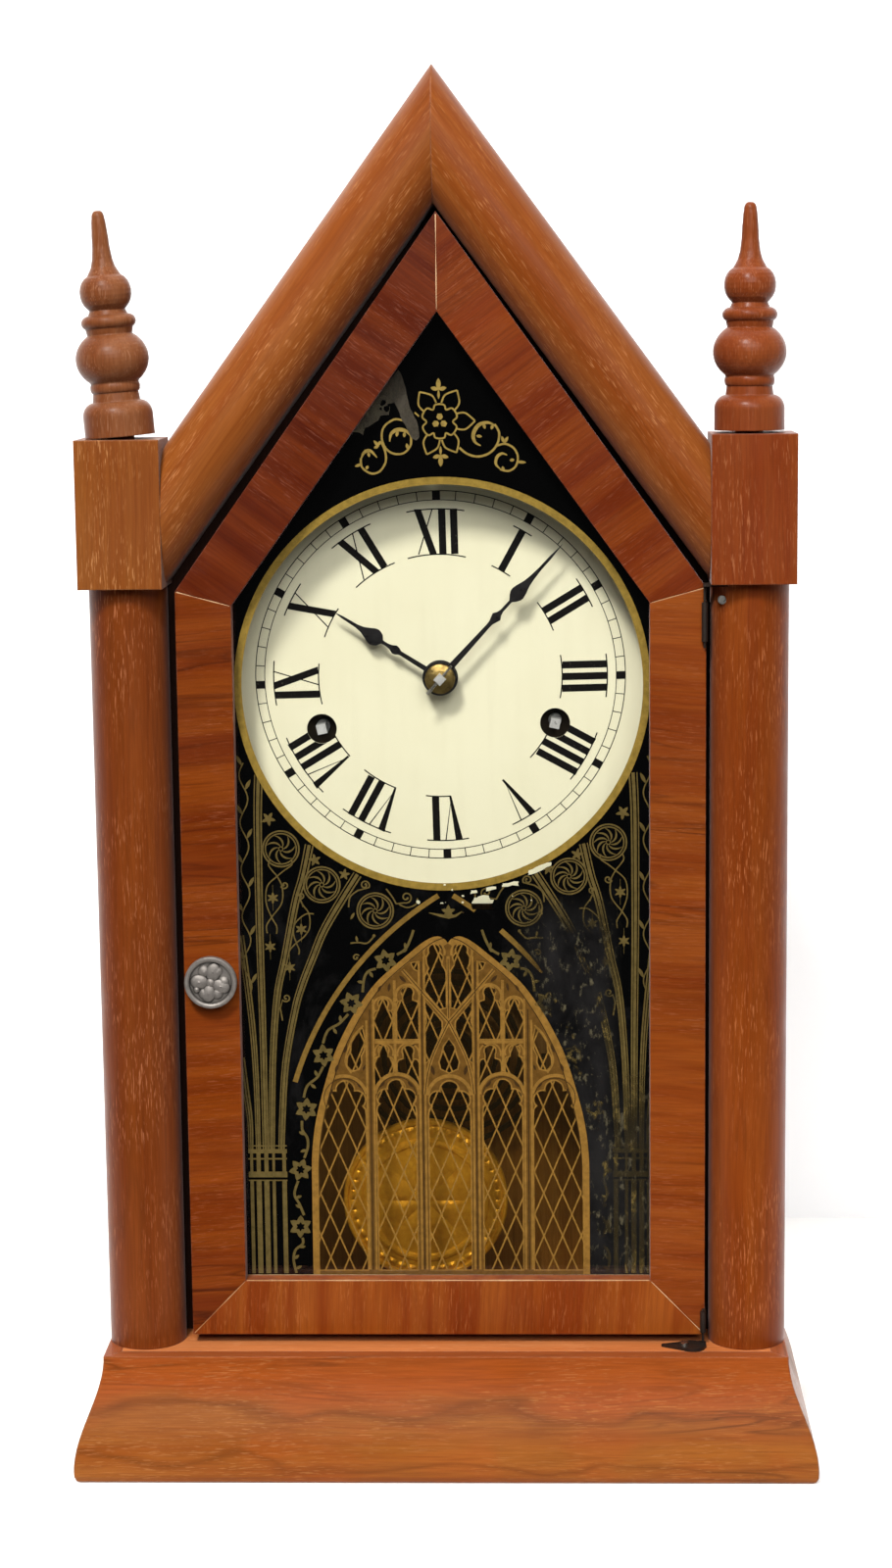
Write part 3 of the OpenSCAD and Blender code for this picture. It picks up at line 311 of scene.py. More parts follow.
brass = metal("brass", srgb(196, 160, 92), srgb(128, 96, 48), 0.3)
brass_worn = metal("brass_worn", srgb(168, 142, 84), srgb(96, 74, 38), 0.34, scale=900, amount=0.8)
# dark, dull brass: painted shade, standing for the shade inside the winding holes through which the front
# plate is seen
brass_dark_painted_shade = metal("brass_dark_painted_shade", srgb(58, 44, 24), srgb(26, 20, 12), 0.6, metallic=0.4)
arbor_steel = metal("arbor_steel", srgb(222, 220, 216), srgb(150, 146, 140), 0.34, metallic=0.5)
steel = metal("steel", srgb(170, 166, 158), srgb(104, 98, 92), 0.3)
blued = metal("blued_steel", srgb(60, 66, 78), srgb(36, 38, 44), 0.35)
iron = metal("iron", srgb(44, 38, 34), srgb(70, 46, 30), 0.5, metallic=0.7)
hand_paint = metal("hand_paint", srgb(26, 23, 24), srgb(12, 11, 12), 0.32, metallic=0.2, amount=0.7)
bright_nail = metal("nail", srgb(206, 202, 194), srgb(128, 120, 110), 0.28)
for name in (
        "back_plate", "time_great_wheel", "time_second_wheel", "centre_wheel", "third_wheel",
        "escape_wheel", "cannon_pinion", "minute_wheel", "hour_wheel", "strike_great_wheel",
        "strike_second_wheel", "strike_fly", "pendulum_rod"):
    give(name, brass)
for name in ("taper_pin", "movement_screws", "verge_and_crutch", "strike_hammer"):
    give(name, steel)
for name in ("mainsprings", "gong_coil"):
    give(name, blued)
for name in ("hinge_upper_strip", "hinge_lower_plate", "hinge_knuckles", "gong_base"):
    give(name, iron)
for name in ("minute_hand", "hour_hand"):
    give(name, hand_paint)
give("hinge_nails", bright_nail)
# the front plate gets the dark brass: painted shade seen through the winding holes
give("front_plate", brass_dark_painted_shade)
for name in ("time_winding_arbor", "strike_winding_arbor"):
    give(name, arbor_steel)
give("hand_washer", brass_worn)


def arbor_tip():
    """The squared steel end of the centre arbor, in front of the washer."""
    low, high = box_mm("hand_washer")
    middle = ((low[0] + high[0]) / 2, (low[2] + high[2]) / 2)
    front, back, half, bevel = low[1] - 2.3, low[1] - 0.1, 1.65, 0.25
    turn = math.radians(2)
    rings = []
    for y, size in ((front, half - bevel), (front + bevel, half), (back, half)):
        rings.append([(middle[0] + size * math.sqrt(2) * math.cos(turn + k * math.pi / 2), y,
                       middle[1] + size * math.sqrt(2) * math.sin(turn + k * math.pi / 2))
                      for k in range(4)])
    faces = [(0, 1, 2, 3), (11, 10, 9, 8)]
    faces += [(r * 4 + k, r * 4 + (k + 1) % 4, r * 4 + 4 + (k + 1) % 4, r * 4 + 4 + k)[::-1] for r in (0, 1)
              for k in range(4)]
    return new_piece("arbor_tip", [p for ring in rings for p in ring], faces, arbor_steel)


arbor_end = arbor_tip()
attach(arbor_end, "centre_group")


def bob_material():
    """Stamped brass: leaves round the middle and a beaded band, raised by bump."""
    low, high = box_mm("pendulum_bob")
    middle = ((low[0] + high[0]) / 2 * MM, (low[2] + high[2]) / 2 * MM)
    s = Shader("stamped_brass")
    p = s.mapped(s.place(), move=(-middle[0], 0, -middle[1]))
    split = s.add("SeparateXYZ", Vector=p)
    x, z = split.outputs[0], split.outputs[2]
    reach = s.math("SQRT", s.plus(s.times(x, x), s.times(z, z)))
    turn = s.math("ARCTAN2", z, x)
    leaves = s.times(s.math("ABSOLUTE", s.math("SINE", s.times(turn, 4.0))),
                     s.ramp(s.times(reach, 30.0), [(0.05, 0), (0.3, 1), (0.62, 0)]))
    bead = s.times(s.math("ABSOLUTE", s.math("SINE", s.times(turn, 22.0))),
                   s.ramp(s.times(reach, 30.0), [(0.78, 0), (0.82, 1), (0.86, 0)]))
    rough_field = s.noise(p, 500, 3)
    height = s.plus(s.plus(leaves, bead), s.times(rough_field, 0.25))
    bump = s.add("Bump", Strength=0.8, Distance=0.0012, Height=height)
    colour = s.mix(s.ramp(rough_field, [(0.35, 0), (0.7, 0.6)]), srgb(232, 190, 90), srgb(192, 138, 54))
    return s.surface(Base_Color=colour, Metallic=0.4, Roughness=0.34, Normal=bump.outputs[0])


give("pendulum_bob", bob_material())


def pewter_material():
    """Cast grey metal, darkened in the hollows of its relief by ambient occlusion: painted shade."""
    s = Shader("pewter")
    p = s.place()
    fine = s.noise(p, 700, 4, 0.65)
    # painted shade: the colour goes dark where the ambient occlusion finds a hollow
    hollow = s.add("AmbientOcclusion", {"samples": 6, "inside": False}, Distance=0.0022)
    shade = s.ramp(hollow.outputs["AO"], [(0.5, srgb(34, 31, 28)), (0.95, srgb(136, 130, 124))])
    colour = s.mix(s.ramp(fine, [(0.4, 0), (0.7, 0.45)]), shade, srgb(96, 90, 84))
    bump = s.add("Bump", Strength=0.25, Distance=0.0003, Height=fine)
    return s.surface(Base_Color=colour, Metallic=0.7, Roughness=0.56, Normal=bump.outputs[0])


pewter = pewter_material()
give("door_knob", pewter)


def knob_flower():
    """Four large petals and a bead, cast on the knob's face over its small domes."""
    low, high = box_mm("door_knob")
    knob_radius, rim_height, rise = 9.5, 1.2, 1.16
    middle = ((low[0] + high[0]) / 2, low[2] + knob_radius)
    floor = low[1] + rim_height
    points, faces, rings, sides = [], [], 9, 32
    for turn, reach, long_half, wide_half, ridge in (
            (75, 4.0, 3.5, 2.75, 0.12), (176, 4.1, 3.4, 2.7, 0.05), (-101, 4.2, 3.4, 2.5, 0.08),
            (-20, 4.1, 3.5, 2.6, 0.1), (207, 5.7, 1.25, 1.25, 0.0)):
        out = (math.cos(math.radians(turn)), math.sin(math.radians(turn)))
        start = len(points)
        for r in range(rings):
            share = math.sin((r + 0.02) / (rings - 1 + 0.02) * math.pi / 2)
            for k in range(sides):
                angle = 2 * math.pi * k / sides
                along = reach + long_half * share * math.cos(angle)
                aside = wide_half * share * math.sin(angle)
                height = (rise - ridge) * math.sqrt(max(0.0, 1 - share * share))
                height += ridge * (1 - min(1.0, abs(math.sin(angle)) * share * 3)) * (1 - share)
                points.append((middle[0] + along * out[0] - aside * out[1], floor - height,
                               middle[1] + along * out[1] + aside * out[0]))
        for r in range(rings - 1):
            for k in range(sides):
                a, b = start + r * sides + k, start + r * sides + (k + 1) % sides
                faces.append((a, a + sides, b + sides, b))
        faces.append(tuple(start + k for k in reversed(range(sides))))
    piece = new_piece("knob_flower", points, faces, pewter)
    piece.data.polygons.foreach_set("use_smooth", [True] * len(piece.data.polygons))
    return piece


flower_relief = knob_flower()
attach(flower_relief, "knob")


def cream_paint():
    """The dial's cream paint, with faint brush marks and stains."""
    s = Shader("cream_paint")
    p = s.place()
    brush = s.noise(p, (300, 300, 18), 3, 0.6)
    stain = s.noise(p, 25, 3)
    colour = s.mix(s.ramp(stain, [(0.4, 0), (0.7, 0.5)]), srgb(230, 224, 193), srgb(224, 217, 183))
    colour = s.mix(s.ramp(brush, [(0.45, 0), (0.75, 0.25)]), colour, srgb(217, 210, 178))
    return s.surface(Base_Color=colour, Roughness=0.5)


give("dial_plate", cream_paint())


def clear_glass():
    """Thin clear glass: see-through, with the reflection of its surface."""
    s = Shader("glass")
    smear = s.noise(s.place(), 30, 3)
    rough = s.ramp(smear, [(0.35, 0.02), (0.7, 0.07)])
    slope_of_view = s.add("LayerWeight", Blend=0.5).outputs[1]
    edge = s.plus(s.times(s.math("POWER", slope_of_view, 5.0), 0.9), 0.035)
    clear = s.add("BsdfTransparent", Color=(0.985, 0.99, 0.985))
    mirror = s.add("BsdfPrincipled", Base_Color=(0.95, 0.95, 0.95), Metallic=1.0, Roughness=rough)
    return s.blend(edge, clear, mirror)


give("door_glass", clear_glass())


# ---------- flat painted shapes, written in millimetres as (x, z)

def polar(centre, turn, reach):
    """The point at an angle in degrees, anticlockwise from +X, and a distance from centre."""
    turn = math.radians(turn)
    return (centre[0] + reach * math.cos(turn), centre[1] + reach * math.sin(turn))


def stroke(points, width, closed=False, taper=None):
    """A line of given width as a row of four-sided pieces; taper(t), t from 0 to 1, scales the width."""
    pts = [Vector(p) for p in points]
    if closed:
        pts.append(pts[0])
    count = len(pts)
    sides = []
    for i, p in enumerate(pts):
        before = pts[i - 1] if i else (pts[-2] if closed else None)
        after = pts[i + 1] if i < count - 1 else (pts[1] if closed else None)
        d = Vector((0, 0))
        if before is not None and (p - before).length > 1e-9:
            d += (p - before).normalized()
        if after is not None and (after - p).length > 1e-9:
            d += (after - p).normalized()
        d = d.normalized() if d.length > 1e-6 else Vector((1, 0))
        half = width / 2 * (taper(i / (count - 1)) if taper else 1)
        normal = Vector((-d.y, d.x)) * half
        sides.append((p + normal, p - normal))
    return [[sides[i][0], sides[i + 1][0], sides[i + 1][1], sides[i][1]] for i in range(count - 1)]


def strokes(rows):
    """Lines of their own widths, from rows of points and width."""
    return [piece for points, width in rows for piece in stroke(points, width)]


def arc(centre, radius, start, end, steps=24):
    """Points on an arc; angles in degrees, anticlockwise from +X."""
    return [polar(centre, start + (end - start) * i / steps, radius) for i in range(steps + 1)]


def disc(centre, radius, steps=40):
    return arc(centre, radius, 0, 360 - 360 / steps, steps - 1)


def area(loop):
    return sum(loop[i - 1][0] * p[1] - p[0] * loop[i - 1][1] for i, p in enumerate(loop)) / 2


def flat(name, add, y, material, body, cut=(), limit=None):
    """A thin painted layer at depth y: the union of the shapes in add, less those in cut, inside limit."""
    loops = [("add", a) for a in add] + [("cut", c) for c in cut] + ([("limit", limit)] if limit else [])
    points, faces, kinds = [], [], []
    for kind, loop in loops:
        loop = [Vector((p[0], p[1])) for p in loop]
        if abs(area(loop)) < 1e-4:
            continue
        if area(loop) < 0:
            loop.reverse()
        faces.append(list(range(len(points), len(points) + len(loop))))
        points += loop
        kinds.append(kind)
    verts, _, tris, _, _, origin = delaunay_2d_cdt(points, [], faces, 1, 1e-4)
    keep = []
    for tri, sources in zip(tris, origin):
        inside = {kinds[i] for i in sources}
        if "add" in inside and "cut" not in inside and (limit is None or "limit" in inside):
            keep.append(tri)
    used = sorted({i for tri in keep for i in tri})
    index = {v: i for i, v in enumerate(used)}
    piece = new_piece(name, [(verts[i][0], y, verts[i][1]) for i in used],
                      [tuple(index[i] for i in tri) for tri in keep], material)
    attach(piece, body)


def print_black(name, colour):
    """Black print that has worn through in fine specks."""
    s = Shader(name)
    spots = s.noise(s.place(), 900, 3)
    shade = s.mix(s.ramp(spots, [(0.66, 0), (0.72, 0.4)]), colour, srgb(90, 84, 74))
    return s.surface(Base_Color=shade, Roughness=0.45, Specular_IOR_Level=0.1)


# ---------- dial print

dial_y = box_mm("dial_plate")[0][1] - 0.02
hub = (-0.2, 291)
dial_lean = -1.15
track_out, track_in = 67.8, 64.5
divide_mid = (0.4, 289.6)
numeral_in, numeral_out = 44.7, 61.2
serif_past = 1.5
bar, hair, pitch = 2.65, 0.46, 4.3
ink = []


def on_dial(along, reach, clock_angle):
    """A point beside the ray at clock_angle degrees past twelve: along is clockwise, reach is outward.

    The divisions run from divide_mid, a little off the middle of the rings, as in the photo.
    """
    turn = math.radians(clock_angle + dial_lean)
    ray = Vector((math.sin(turn), math.cos(turn)))
    start = Vector(divide_mid) - Vector(hub)
    aside = start.dot(ray)
    out = (start + ray * (math.sqrt(aside * aside - start.dot(start) + reach * reach) - aside)).normalized()
    across = Vector((out.y, -out.x))
    return tuple(Vector(hub) + out * reach + across * along)


for radius, width in ((track_out, 0.34), (track_in, 0.3)):
    ink += stroke(disc(hub, radius, 180), width, closed=True)
for minute in range(60):
    wide = 2.9 if minute % 5 == 0 else 0.32
    ends = ((-wide / 2, track_in), (wide / 2, track_in), (wide / 2, track_out), (-wide / 2, track_out))
    ink.append([on_dial(a, r, minute * 6) for a, r in ends])

numerals = ("XII", "I", "II", "III", "IIII", "V", "VI", "VII", "VIII", "IX", "X", "XI")
letter_room = {"I": pitch, "V": 7.4, "X": 8.0}
for hour, word in enumerate(numerals):
    angle = hour * 30
    total = sum(letter_room[c] for c in word)
    at = -total / 2
    inner_ends, outer_ends = [], []
    for letter in word:
        mid = at + letter_room[letter] / 2
        at += letter_room[letter]
        span = 2.5 if letter == "V" else 2.7
        if letter == "I":
            lines = [(mid, mid, bar)]
        elif letter == "V":
            lines = [(mid + 0.4, mid - span, bar), (mid, mid + span, hair)]
        else:
            lines = [(mid + span, mid - span, bar), (mid - span, mid + span, hair)]
        for low_x, high_x, width in lines:
            foot = width * 0.3 if letter == "V" else width
            ink.append([on_dial(low_x - foot / 2, numeral_in, angle),
                        on_dial(low_x + foot / 2, numeral_in, angle),
                        on_dial(high_x + width / 2, numeral_out, angle),
                        on_dial(high_x - width / 2, numeral_out, angle)])
            inner_ends += [low_x] if letter == "V" else [low_x - 2.3, low_x + 2.3]
            outer_ends += [high_x - 2.3, high_x + 2.3]
        if letter != "V":
            inner_ends += [low_x - 2.3 - serif_past, low_x + 2.3] if letter == word[0] else []
            inner_ends += [low_x + 2.3 + serif_past] if letter == word[-1] else []
    for ends, reach in ((inner_ends, numeral_in), (outer_ends, numeral_out)):
        if max(ends) - min(ends) < 1:
            continue
        steps = 10
        row = []
        start = min(ends) - (serif_past if reach == numeral_out else 0)
        end = max(ends) + (serif_past if reach == numeral_out else 0)
        for i in range(steps + 1):
            offset = start + (end - start) * i / steps
            row.append(on_dial(0, reach, angle + math.degrees(offset / reach)))
        ink += stroke(row, hair)

winding = [(41.8, 273.4), (-44, 271.8)]
flat("dial_print", ink, dial_y, print_black("dial_ink", srgb(14, 12, 10)), "case",
     cut=[disc(w, 5.45) for w in winding])

# ---------- painted glass

art_y = box_mm("door_glass")[1][1] + 0.05
door_mid, door_half = 0.9, 74.7
sight = [(door_mid - door_half - 1.5, 68.0), (door_mid + door_half + 1.5, 68.0),
         (door_mid + door_half + 1.5, 320.6), (door_mid, 426.0), (door_mid - door_half - 1.5, 320.6)]
ring_mid, ring_r = (1, 289.6), 74.9
win_mid = 2.1


def through(a, b, c, steps=24):
    """Points on the arc from a to c by way of b."""
    a, b, c = Vector(a), Vector(b), Vector(c)
    size = 2 * (a.x * (b.y - c.y) + b.x * (c.y - a.y) + c.x * (a.y - b.y))
    squares = (a.dot(a), b.dot(b), c.dot(c))
    middle = Vector((squares[0] * (b.y - c.y) + squares[1] * (c.y - a.y) + squares[2] * (a.y - b.y),
                     squares[0] * (c.x - b.x) + squares[1] * (a.x - c.x) + squares[2] * (b.x - a.x))) / size
    start, via, end = (math.degrees(math.atan2(p.y - middle.y, p.x - middle.x)) for p in (a, b, c))
    sweep = (end - start) % 360
    if (via - start) % 360 > sweep:
        sweep -= 360
    return arc(middle, (a - middle).length, start, start + sweep, steps)


def smooth(points, closed=False, steps=6):
    """A flowing curve through points."""
    pts = [Vector(p) for p in points]
    count = len(pts)
    out = []
    for i in range(count if closed else count - 1):
        p1, p2 = pts[i], pts[(i + 1) % count]
        p0 = pts[i - 1] if i or closed else p1
        p3 = pts[(i + 2) % count] if closed or i + 2 < count else p2
        for k in range(steps):
            t = k / steps
            out.append(tuple(0.5 * (2 * p1 + (p2 - p0) * t + (2 * p0 - 5 * p1 + 4 * p2 - p3) * t * t
                                    + (3 * p1 - p0 - 3 * p2 + p3) * t ** 3)))
    return out if closed else out + [tuple(pts[-1])]


def mirror_x(shape, mid=win_mid):
    return [(2 * mid - p[0], p[1]) for p in shape]


def both(shapes, mid=win_mid):
    """The shapes and their mirror images about mid."""
    return shapes + [mirror_x(s, mid) for s in shapes]


def swelling(t):
    """Width along a stroke that is fine at its ends and full in its middle."""
    return 0.25 + 0.75 * math.sin(math.pi * t)


def leaf(root, turn, length, width):
    """A filled leaf pointing along turn."""
    a = math.radians(turn)
    out = Vector((math.cos(a), math.sin(a)))
    across = Vector((-out.y, out.x))
    root = Vector(root)
    row = [(t, width / 2 * math.sin(math.pi * t) ** 0.8) for t in [i / 8 for i in range(9)]]
    return [tuple(root + out * length * t + across * w) for t, w in row] + \
           [tuple(root + out * length * t - across * w) for t, w in reversed(row[1:-1])]


# the big window: a pointed arch whose point is parted into two lobes
window_side = smooth([(-49.4, 69), (-49.3, 100), (-49, 116), (-46.8, 131), (-41.4, 150), (-37.2, 160),
                      (-31.7, 170), (-24.3, 180.3), (-13.2, 190.2), (-6.4, 195.6), (-2, 197.4),
                      (0.8, 196.4), (win_mid, 194.9)])
window = window_side + mirror_x(window_side[-2::-1])


def light(mid, half, feet, crown, foils=3):
    """An opening of the window: upright sides, cusped shoulders and a round head of one or three foils."""
    r = half * (0.43 if foils == 3 else 0.5)
    loops = [disc((mid, crown - r), r, 24)]
    if foils == 3:
        loops += [disc((mid + side * half * 0.56, crown - half * 0.93), half * 0.42, 24) for side in (-1, 1)]
        edge = [(half, 1.78), (half * 0.97, 1.45), (half * 0.80, 1.25), (half * 0.42, 0.9), (r * 0.6, 0.6)]
    else:
        edge = [(half, 2.1), (half * 0.98, 1.7), (half * 0.86, 1.42), (r * 0.82, 1.26), (r * 0.86, 0.5)]
    right = [(mid + x, crown - half * z) for x, z in edge]
    left = [(mid - x, crown - half * z) for x, z in reversed(edge)]
    return loops + [feet + right + left]


foot = 70.8
openings = both(
    light(-17.5, 7.1, [(-24.6, foot), (-10.4, foot)], 143.4)
    + light(-36.4, 7.4, [(-43.8, foot), (-29.0, foot)], 142.9)
    + [[(-46.9, foot), (-36.0, foot), (-36, 131), (-43.4, 131.6), (-45, 127), (-46.3, 118), (-46.9, 108)]]
    + light(-22.0, 3.35, [(-25.3, 141), (-23.3, 144), (-21, 145.6), (-18.7, 146.4)], 156.4, 1)
    + light(-13.0, 3.9, [(-16.9, 146.5), (-13.8, 145.6), (-11.2, 143.8), (-9.1, 141)], 156.3, 1)
    + light(-21.9, 3.3, [(-25.2, 158.9), (-18.6, 158.9)], 173.9, 1)
    + light(-12.9, 3.95, [(-16.8, 158.9), (-8.95, 158.9)], 178.4, 1)
    + [[(-29.8, 163), (-32, 160.2), (-33.7, 157.4), (-33.9, 154.4), (-35.2, 151.8), (-35.4, 149),
        (-33.7, 147), (-31.4, 147.6), (-30.4, 150), (-30.6, 152.4), (-29.3, 155), (-29, 159)],
       [(-6.4, 173), (-0.6, 165.4), (-0.5, 162.6), (-3, 156), (-4.9, 151.6), (-6.4, 150), (-6.4, 163.6),
        (-5.8, 165.2)],
       [(-6.4, 177), (-0.9, 170.2), (1.1, 170.8), (1.1, 184.2), (-0.5, 186.8), (0.2, 189.6), (-1.2, 191.4),
        (-4.6, 191.4), (-5.7, 189.4), (-5.5, 187.2), (-4.7, 185.5), (-6.4, 182)],
       disc((-2.9, 192.4), 1.95, 24), [(-11.3, 187.4), (-8.7, 187.9), (-8.7, 184.5), (-10.4, 185.4)],
       [(win_mid, 158.8), (0.3, 156), (-0.3, 153.2), (-1.4, 150.2), (-0.8, 147.6), (win_mid, 146.2)]])
openings += light(win_mid, 7.55, [(-5.45, foot), (9.65, foot)], 142.8)

quarry_wide, quarry_tall, quarry_top = 6.9, 16.4, 215.0
lattice = []
for k in range(-30, 31):
    for lean in (-1, 1):
        x = win_mid + k * quarry_wide
        reach = 9 * quarry_wide
        lattice += stroke([(x, quarry_top),
                           (x + lean * reach, quarry_top - reach / quarry_wide * quarry_tall)], 0.58)


def clip_lines(lines, shapes):
    """Keeps the parts of lines inside any of the shapes."""
    points, faces, kinds = [], [], []
    for kind, loops in (("line", lines), ("shape", shapes)):
        for loop in loops:
            loop = [Vector((p[0], p[1])) for p in loop]
            if area(loop) < 0:
                loop.reverse()
            faces.append(list(range(len(points), len(points) + len(loop))))
            points += loop
            kinds.append(kind)
    verts, _, tris, _, _, origin = delaunay_2d_cdt(points, [], faces, 1, 1e-4)
    return [[tuple(verts[i]) for i in tri] for tri, src in zip(tris, origin)
            if {"line", "shape"} <= {kinds[i] for i in src}]


lattice = clip_lines(lattice, openings)

# raised parts of the tracery, painted lighter, and the dark lines beside them
diagonal = [(-14.6, 184.8), (win_mid, 165.3)]
falling = smooth([(win_mid, 165.3), (-3.4, 153.8), (-5.8, 146), (-6.9, 138)])
bar_rows = [
    (window_side, 5.0), ([(-28.2, foot), (-28.2, 166)], 0.8), ([(-25.7, foot), (-25.7, 174)], 0.7),
    ([(-8.7, foot), (-8.7, 188)], 0.75), ([(-6.8, foot), (-6.8, 190)], 0.7),
    ([(-17.75, 146.5), (-17.75, 181)], 1.0), ([(-25.2, 157.8), (-9, 157.8)], 1.2),
    (through((-25.3, 138.2), (-17.3, 145.7), (-9, 138)), 1.3),
    (through((-44.4, 133), (-36.4, 145), (-28.6, 138.2)), 1.2),
    (through((-25.2, 169.6), (-21.9, 174.8), (-18.6, 169.6)), 0.8),
    (through((-16.9, 173.2), (-12.9, 179.4), (-8.9, 173.2)), 0.9),
    (through((-25.1, 152.6), (-21.9, 157.3), (-18.7, 152.6)), 0.6),
    (through((-16.8, 152.4), (-13, 157.3), (-9.1, 152.4)), 0.6),
    (through((-6.3, 189.6), (-2.9, 195.2), (0.7, 190.2)), 0.8),
    (smooth([(-29.4, 164), (-32.6, 160.6), (-34.6, 156.4), (-36.2, 150.4), (-34, 146)]), 0.6),
    (diagonal, 1.5), (falling, 1.3)]
pale_bars = both(strokes(bar_rows))
pale_bars += strokes([(through((-5.9, 137.6), (win_mid, 144.9), (10.1, 137.6)), 1.3),
                      ([(win_mid, 166), (win_mid, 190)], 1.1)])
groove_rows = [
    ([(-26.95, foot), (-26.95, 170)], 0.4), ([(-7.75, foot), (-7.75, 188)], 0.35), (diagonal, 0.32),
    (falling, 0.3), (smooth([(x + 2.7, z - 0.6) for x, z in window_side[6:-12:6]]), 0.35),
    (through((-24.6, 137.6), (-17.5, 144.6), (-10.3, 137.6)), 0.3),
    (through((-43.4, 133), (-36.4, 144), (-29.3, 138)), 0.3)]
cusps = [((-23.6, 140.6), 50, 3.0), ((-11.4, 140.6), 130, 3.0), ((-42.4, 137.4), 62, 3.0),
         ((-30.4, 140.4), 130, 2.6), ((-15.9, 182.8), -46, 3.6), ((-23.9, 176.6), 60, 3.0),
         ((-19.9, 176.8), 80, 3.2), ((-15.2, 176.4), 70, 1.8), ((-36.6, 153.6), 72, 3.6),
         ((-28.9, 149.2), 250, 2.4), ((-40, 146.4), 68, 3.4), ((-4.5, 149), 285, 4.0),
         ((-23.9, 156.9), -20, 1.6), ((-10.2, 156.9), 200, 1.6), ((-1, 194.4), -60, 2.2)]
dark_lines = both(strokes(groove_rows)
                  + [leaf(place, turn, size, size * 0.34) for place, turn, size in cusps])
dark_lines += stroke([(win_mid, 166.6), (win_mid, 189)], 0.3)

rims = []
for loop in openings:
    rims += stroke(loop, 1.15, closed=True)

# the stripe that follows the window from the dial's ring
stripe_mid, stripe_r, stripe_wide, stripe_mirror = (65.1, 106.1), 125.4, 1.9, 1.5
stripes = stroke(arc(stripe_mid, stripe_r, 121.9, 163.0, 40), stripe_wide)
stripes += stroke(mirror_x(arc(stripe_mid, stripe_r, 121.9, 126.4, 12), stripe_mirror), stripe_wide)
stripes += stroke(mirror_x(arc(stripe_mid, stripe_r, 131.8, 141.8, 16), stripe_mirror), stripe_wide,
                  taper=lambda t: 1 - 0.6 * t ** 4)


def star(centre, points, outer, inner, turn=90.0, hollow=0.0):
    """A star with leaf-shaped points; hollow leaves its middle open."""
    row = ((-0.5, inner), (-0.2, inner + (outer - inner) * 0.55), (0.0, outer),
           (0.2, inner + (outer - inner) * 0.55))
    loop = []
    for i in range(points):
        for part, r in row:
            loop.append(polar(centre, turn + 360 * (i + part) / points, r))
    if not hollow:
        return [loop]
    shrunk = [(centre[0] + (p[0] - centre[0]) * hollow, centre[1] + (p[1] - centre[1]) * hollow)
              for p in loop]
    return [[loop[i - 1], loop[i], shrunk[i], shrunk[i - 1]] for i in range(len(loop))]


def curl(centre, radius, start, turns, stem=()):
    """A stem that runs into a closing scroll about centre, whose outer turn begins at the angle start."""
    row = list(stem)
    for i in range(21):
        t = i / 20
        row.append(polar(centre, start + 360 * turns * t, radius * (1 - 0.72 * t)))
    return stroke(row, 0.55) + [disc(row[-1], 0.45, 10)]


def pinwheel(centre, radius, spokes=8):
    shapes = stroke(disc(centre, radius - 0.3), 0.6, closed=True)
    shapes += stroke(disc(centre, radius - 1.25), 0.5, closed=True)
    shapes += stroke(disc(centre, 0.75, 16), 0.35, closed=True)
    for k in range(spokes):
        line = []
        for i in range(9):
            t = i / 8
            line.append(polar(centre, 360 * k / spokes + 62 * t, 0.9 + (radius - 2.5) * t))
        shapes += stroke(line, 0.72, taper=swelling)
    return shapes


gold_art = []
for centre, spokes in (((-58.4, 230.2), 7), ((-43.7, 216.8), 8), ((-24.3, 207), 8), ((60.8, 232), 9),
                       ((46.5, 219.5), 9), ((30, 207.8), 9)):
    gold_art += pinwheel(centre, 6.9, spokes)

# vine between the window and the stripe: open stars on a winding stem with small leaves
vine = []
for place, turn in (((-20.8, 188.4), 100), ((-33.6, 172.5), 110), ((-44.2, 152.8), 95), ((-50.9, 132.4), 85),
                    ((-53.5, 109.3), 70), ((-53.9, 87.4), 88)):
    vine += star(place, 6, 4.4, 2.7, turn, hollow=0.4)
for stem in (
        [(-10.4, 199.8), (-11.5, 196.6), (-13.4, 192.8), (-16.6, 190.6)],
        [(-24.4, 185.4), (-27.2, 184.4), (-28.8, 181.6), (-29.4, 176.6)],
        [(-34.8, 168.4), (-38.2, 164.8), (-42.4, 162.2), (-44.3, 157.4)],
        [(-44.4, 148.6), (-46.6, 144.6), (-50.4, 141.2), (-51.8, 136.8)],
        [(-52.6, 128), (-52.5, 124.5), (-50.8, 121.5), (-50.6, 118), (-52, 113.8)],
        [(-54.4, 105), (-55.9, 100), (-54, 95.8), (-52.5, 91.8)],
        [(-53.2, 83.2), (-53.2, 80.8), (-55.9, 78.4), (-56.7, 74.6), (-55.7, 69.5)]):
    vine += stroke(smooth(stem), 0.95)
for root, turn in (
        ((-13.2, 192.6), 100), ((-15.2, 191.6), 20), ((-26.8, 184.4), -60), ((-28.8, 180.2), 170),
        ((-37.6, 165.4), 95), ((-40.4, 163.2), -62), ((-46.6, 144.8), 110), ((-49.2, 142), -40),
        ((-51.6, 122.6), 150), ((-51, 117), 200), ((-55.6, 98.4), 20), ((-53.4, 94.6), 150),
        ((-54.6, 79.4), 10), ((-56.6, 74.8), 40), ((-55.9, 71), 30)):
    vine.append(leaf(root, turn, 2.6, 1.2))
gold_art += vine + [mirror_x(q) for q in vine]
gold_art += stroke([(-4.6, 206.2), (-0.6, 205.2), (2.4, 204.6), (5, 205), (7.4, 206.6)], 1.3, taper=swelling)
gold_art += star((2.4, 206.6), 5, 2.6, 1.3)


def beside(points, shift, end_share):
    """A curve kept a distance to the side of another; the distance shrinks to end_share of itself."""
    pts = [Vector(p) for p in points]
    out = []
    for i, p in enumerate(pts):
        d = (pts[min(i + 1, len(pts) - 1)] - pts[max(i - 1, 0)]).normalized()
        out.append(tuple(p + Vector((-d.y, d.x)) * shift * (1 - (1 - end_share) * i / (len(pts) - 1))))
    return out


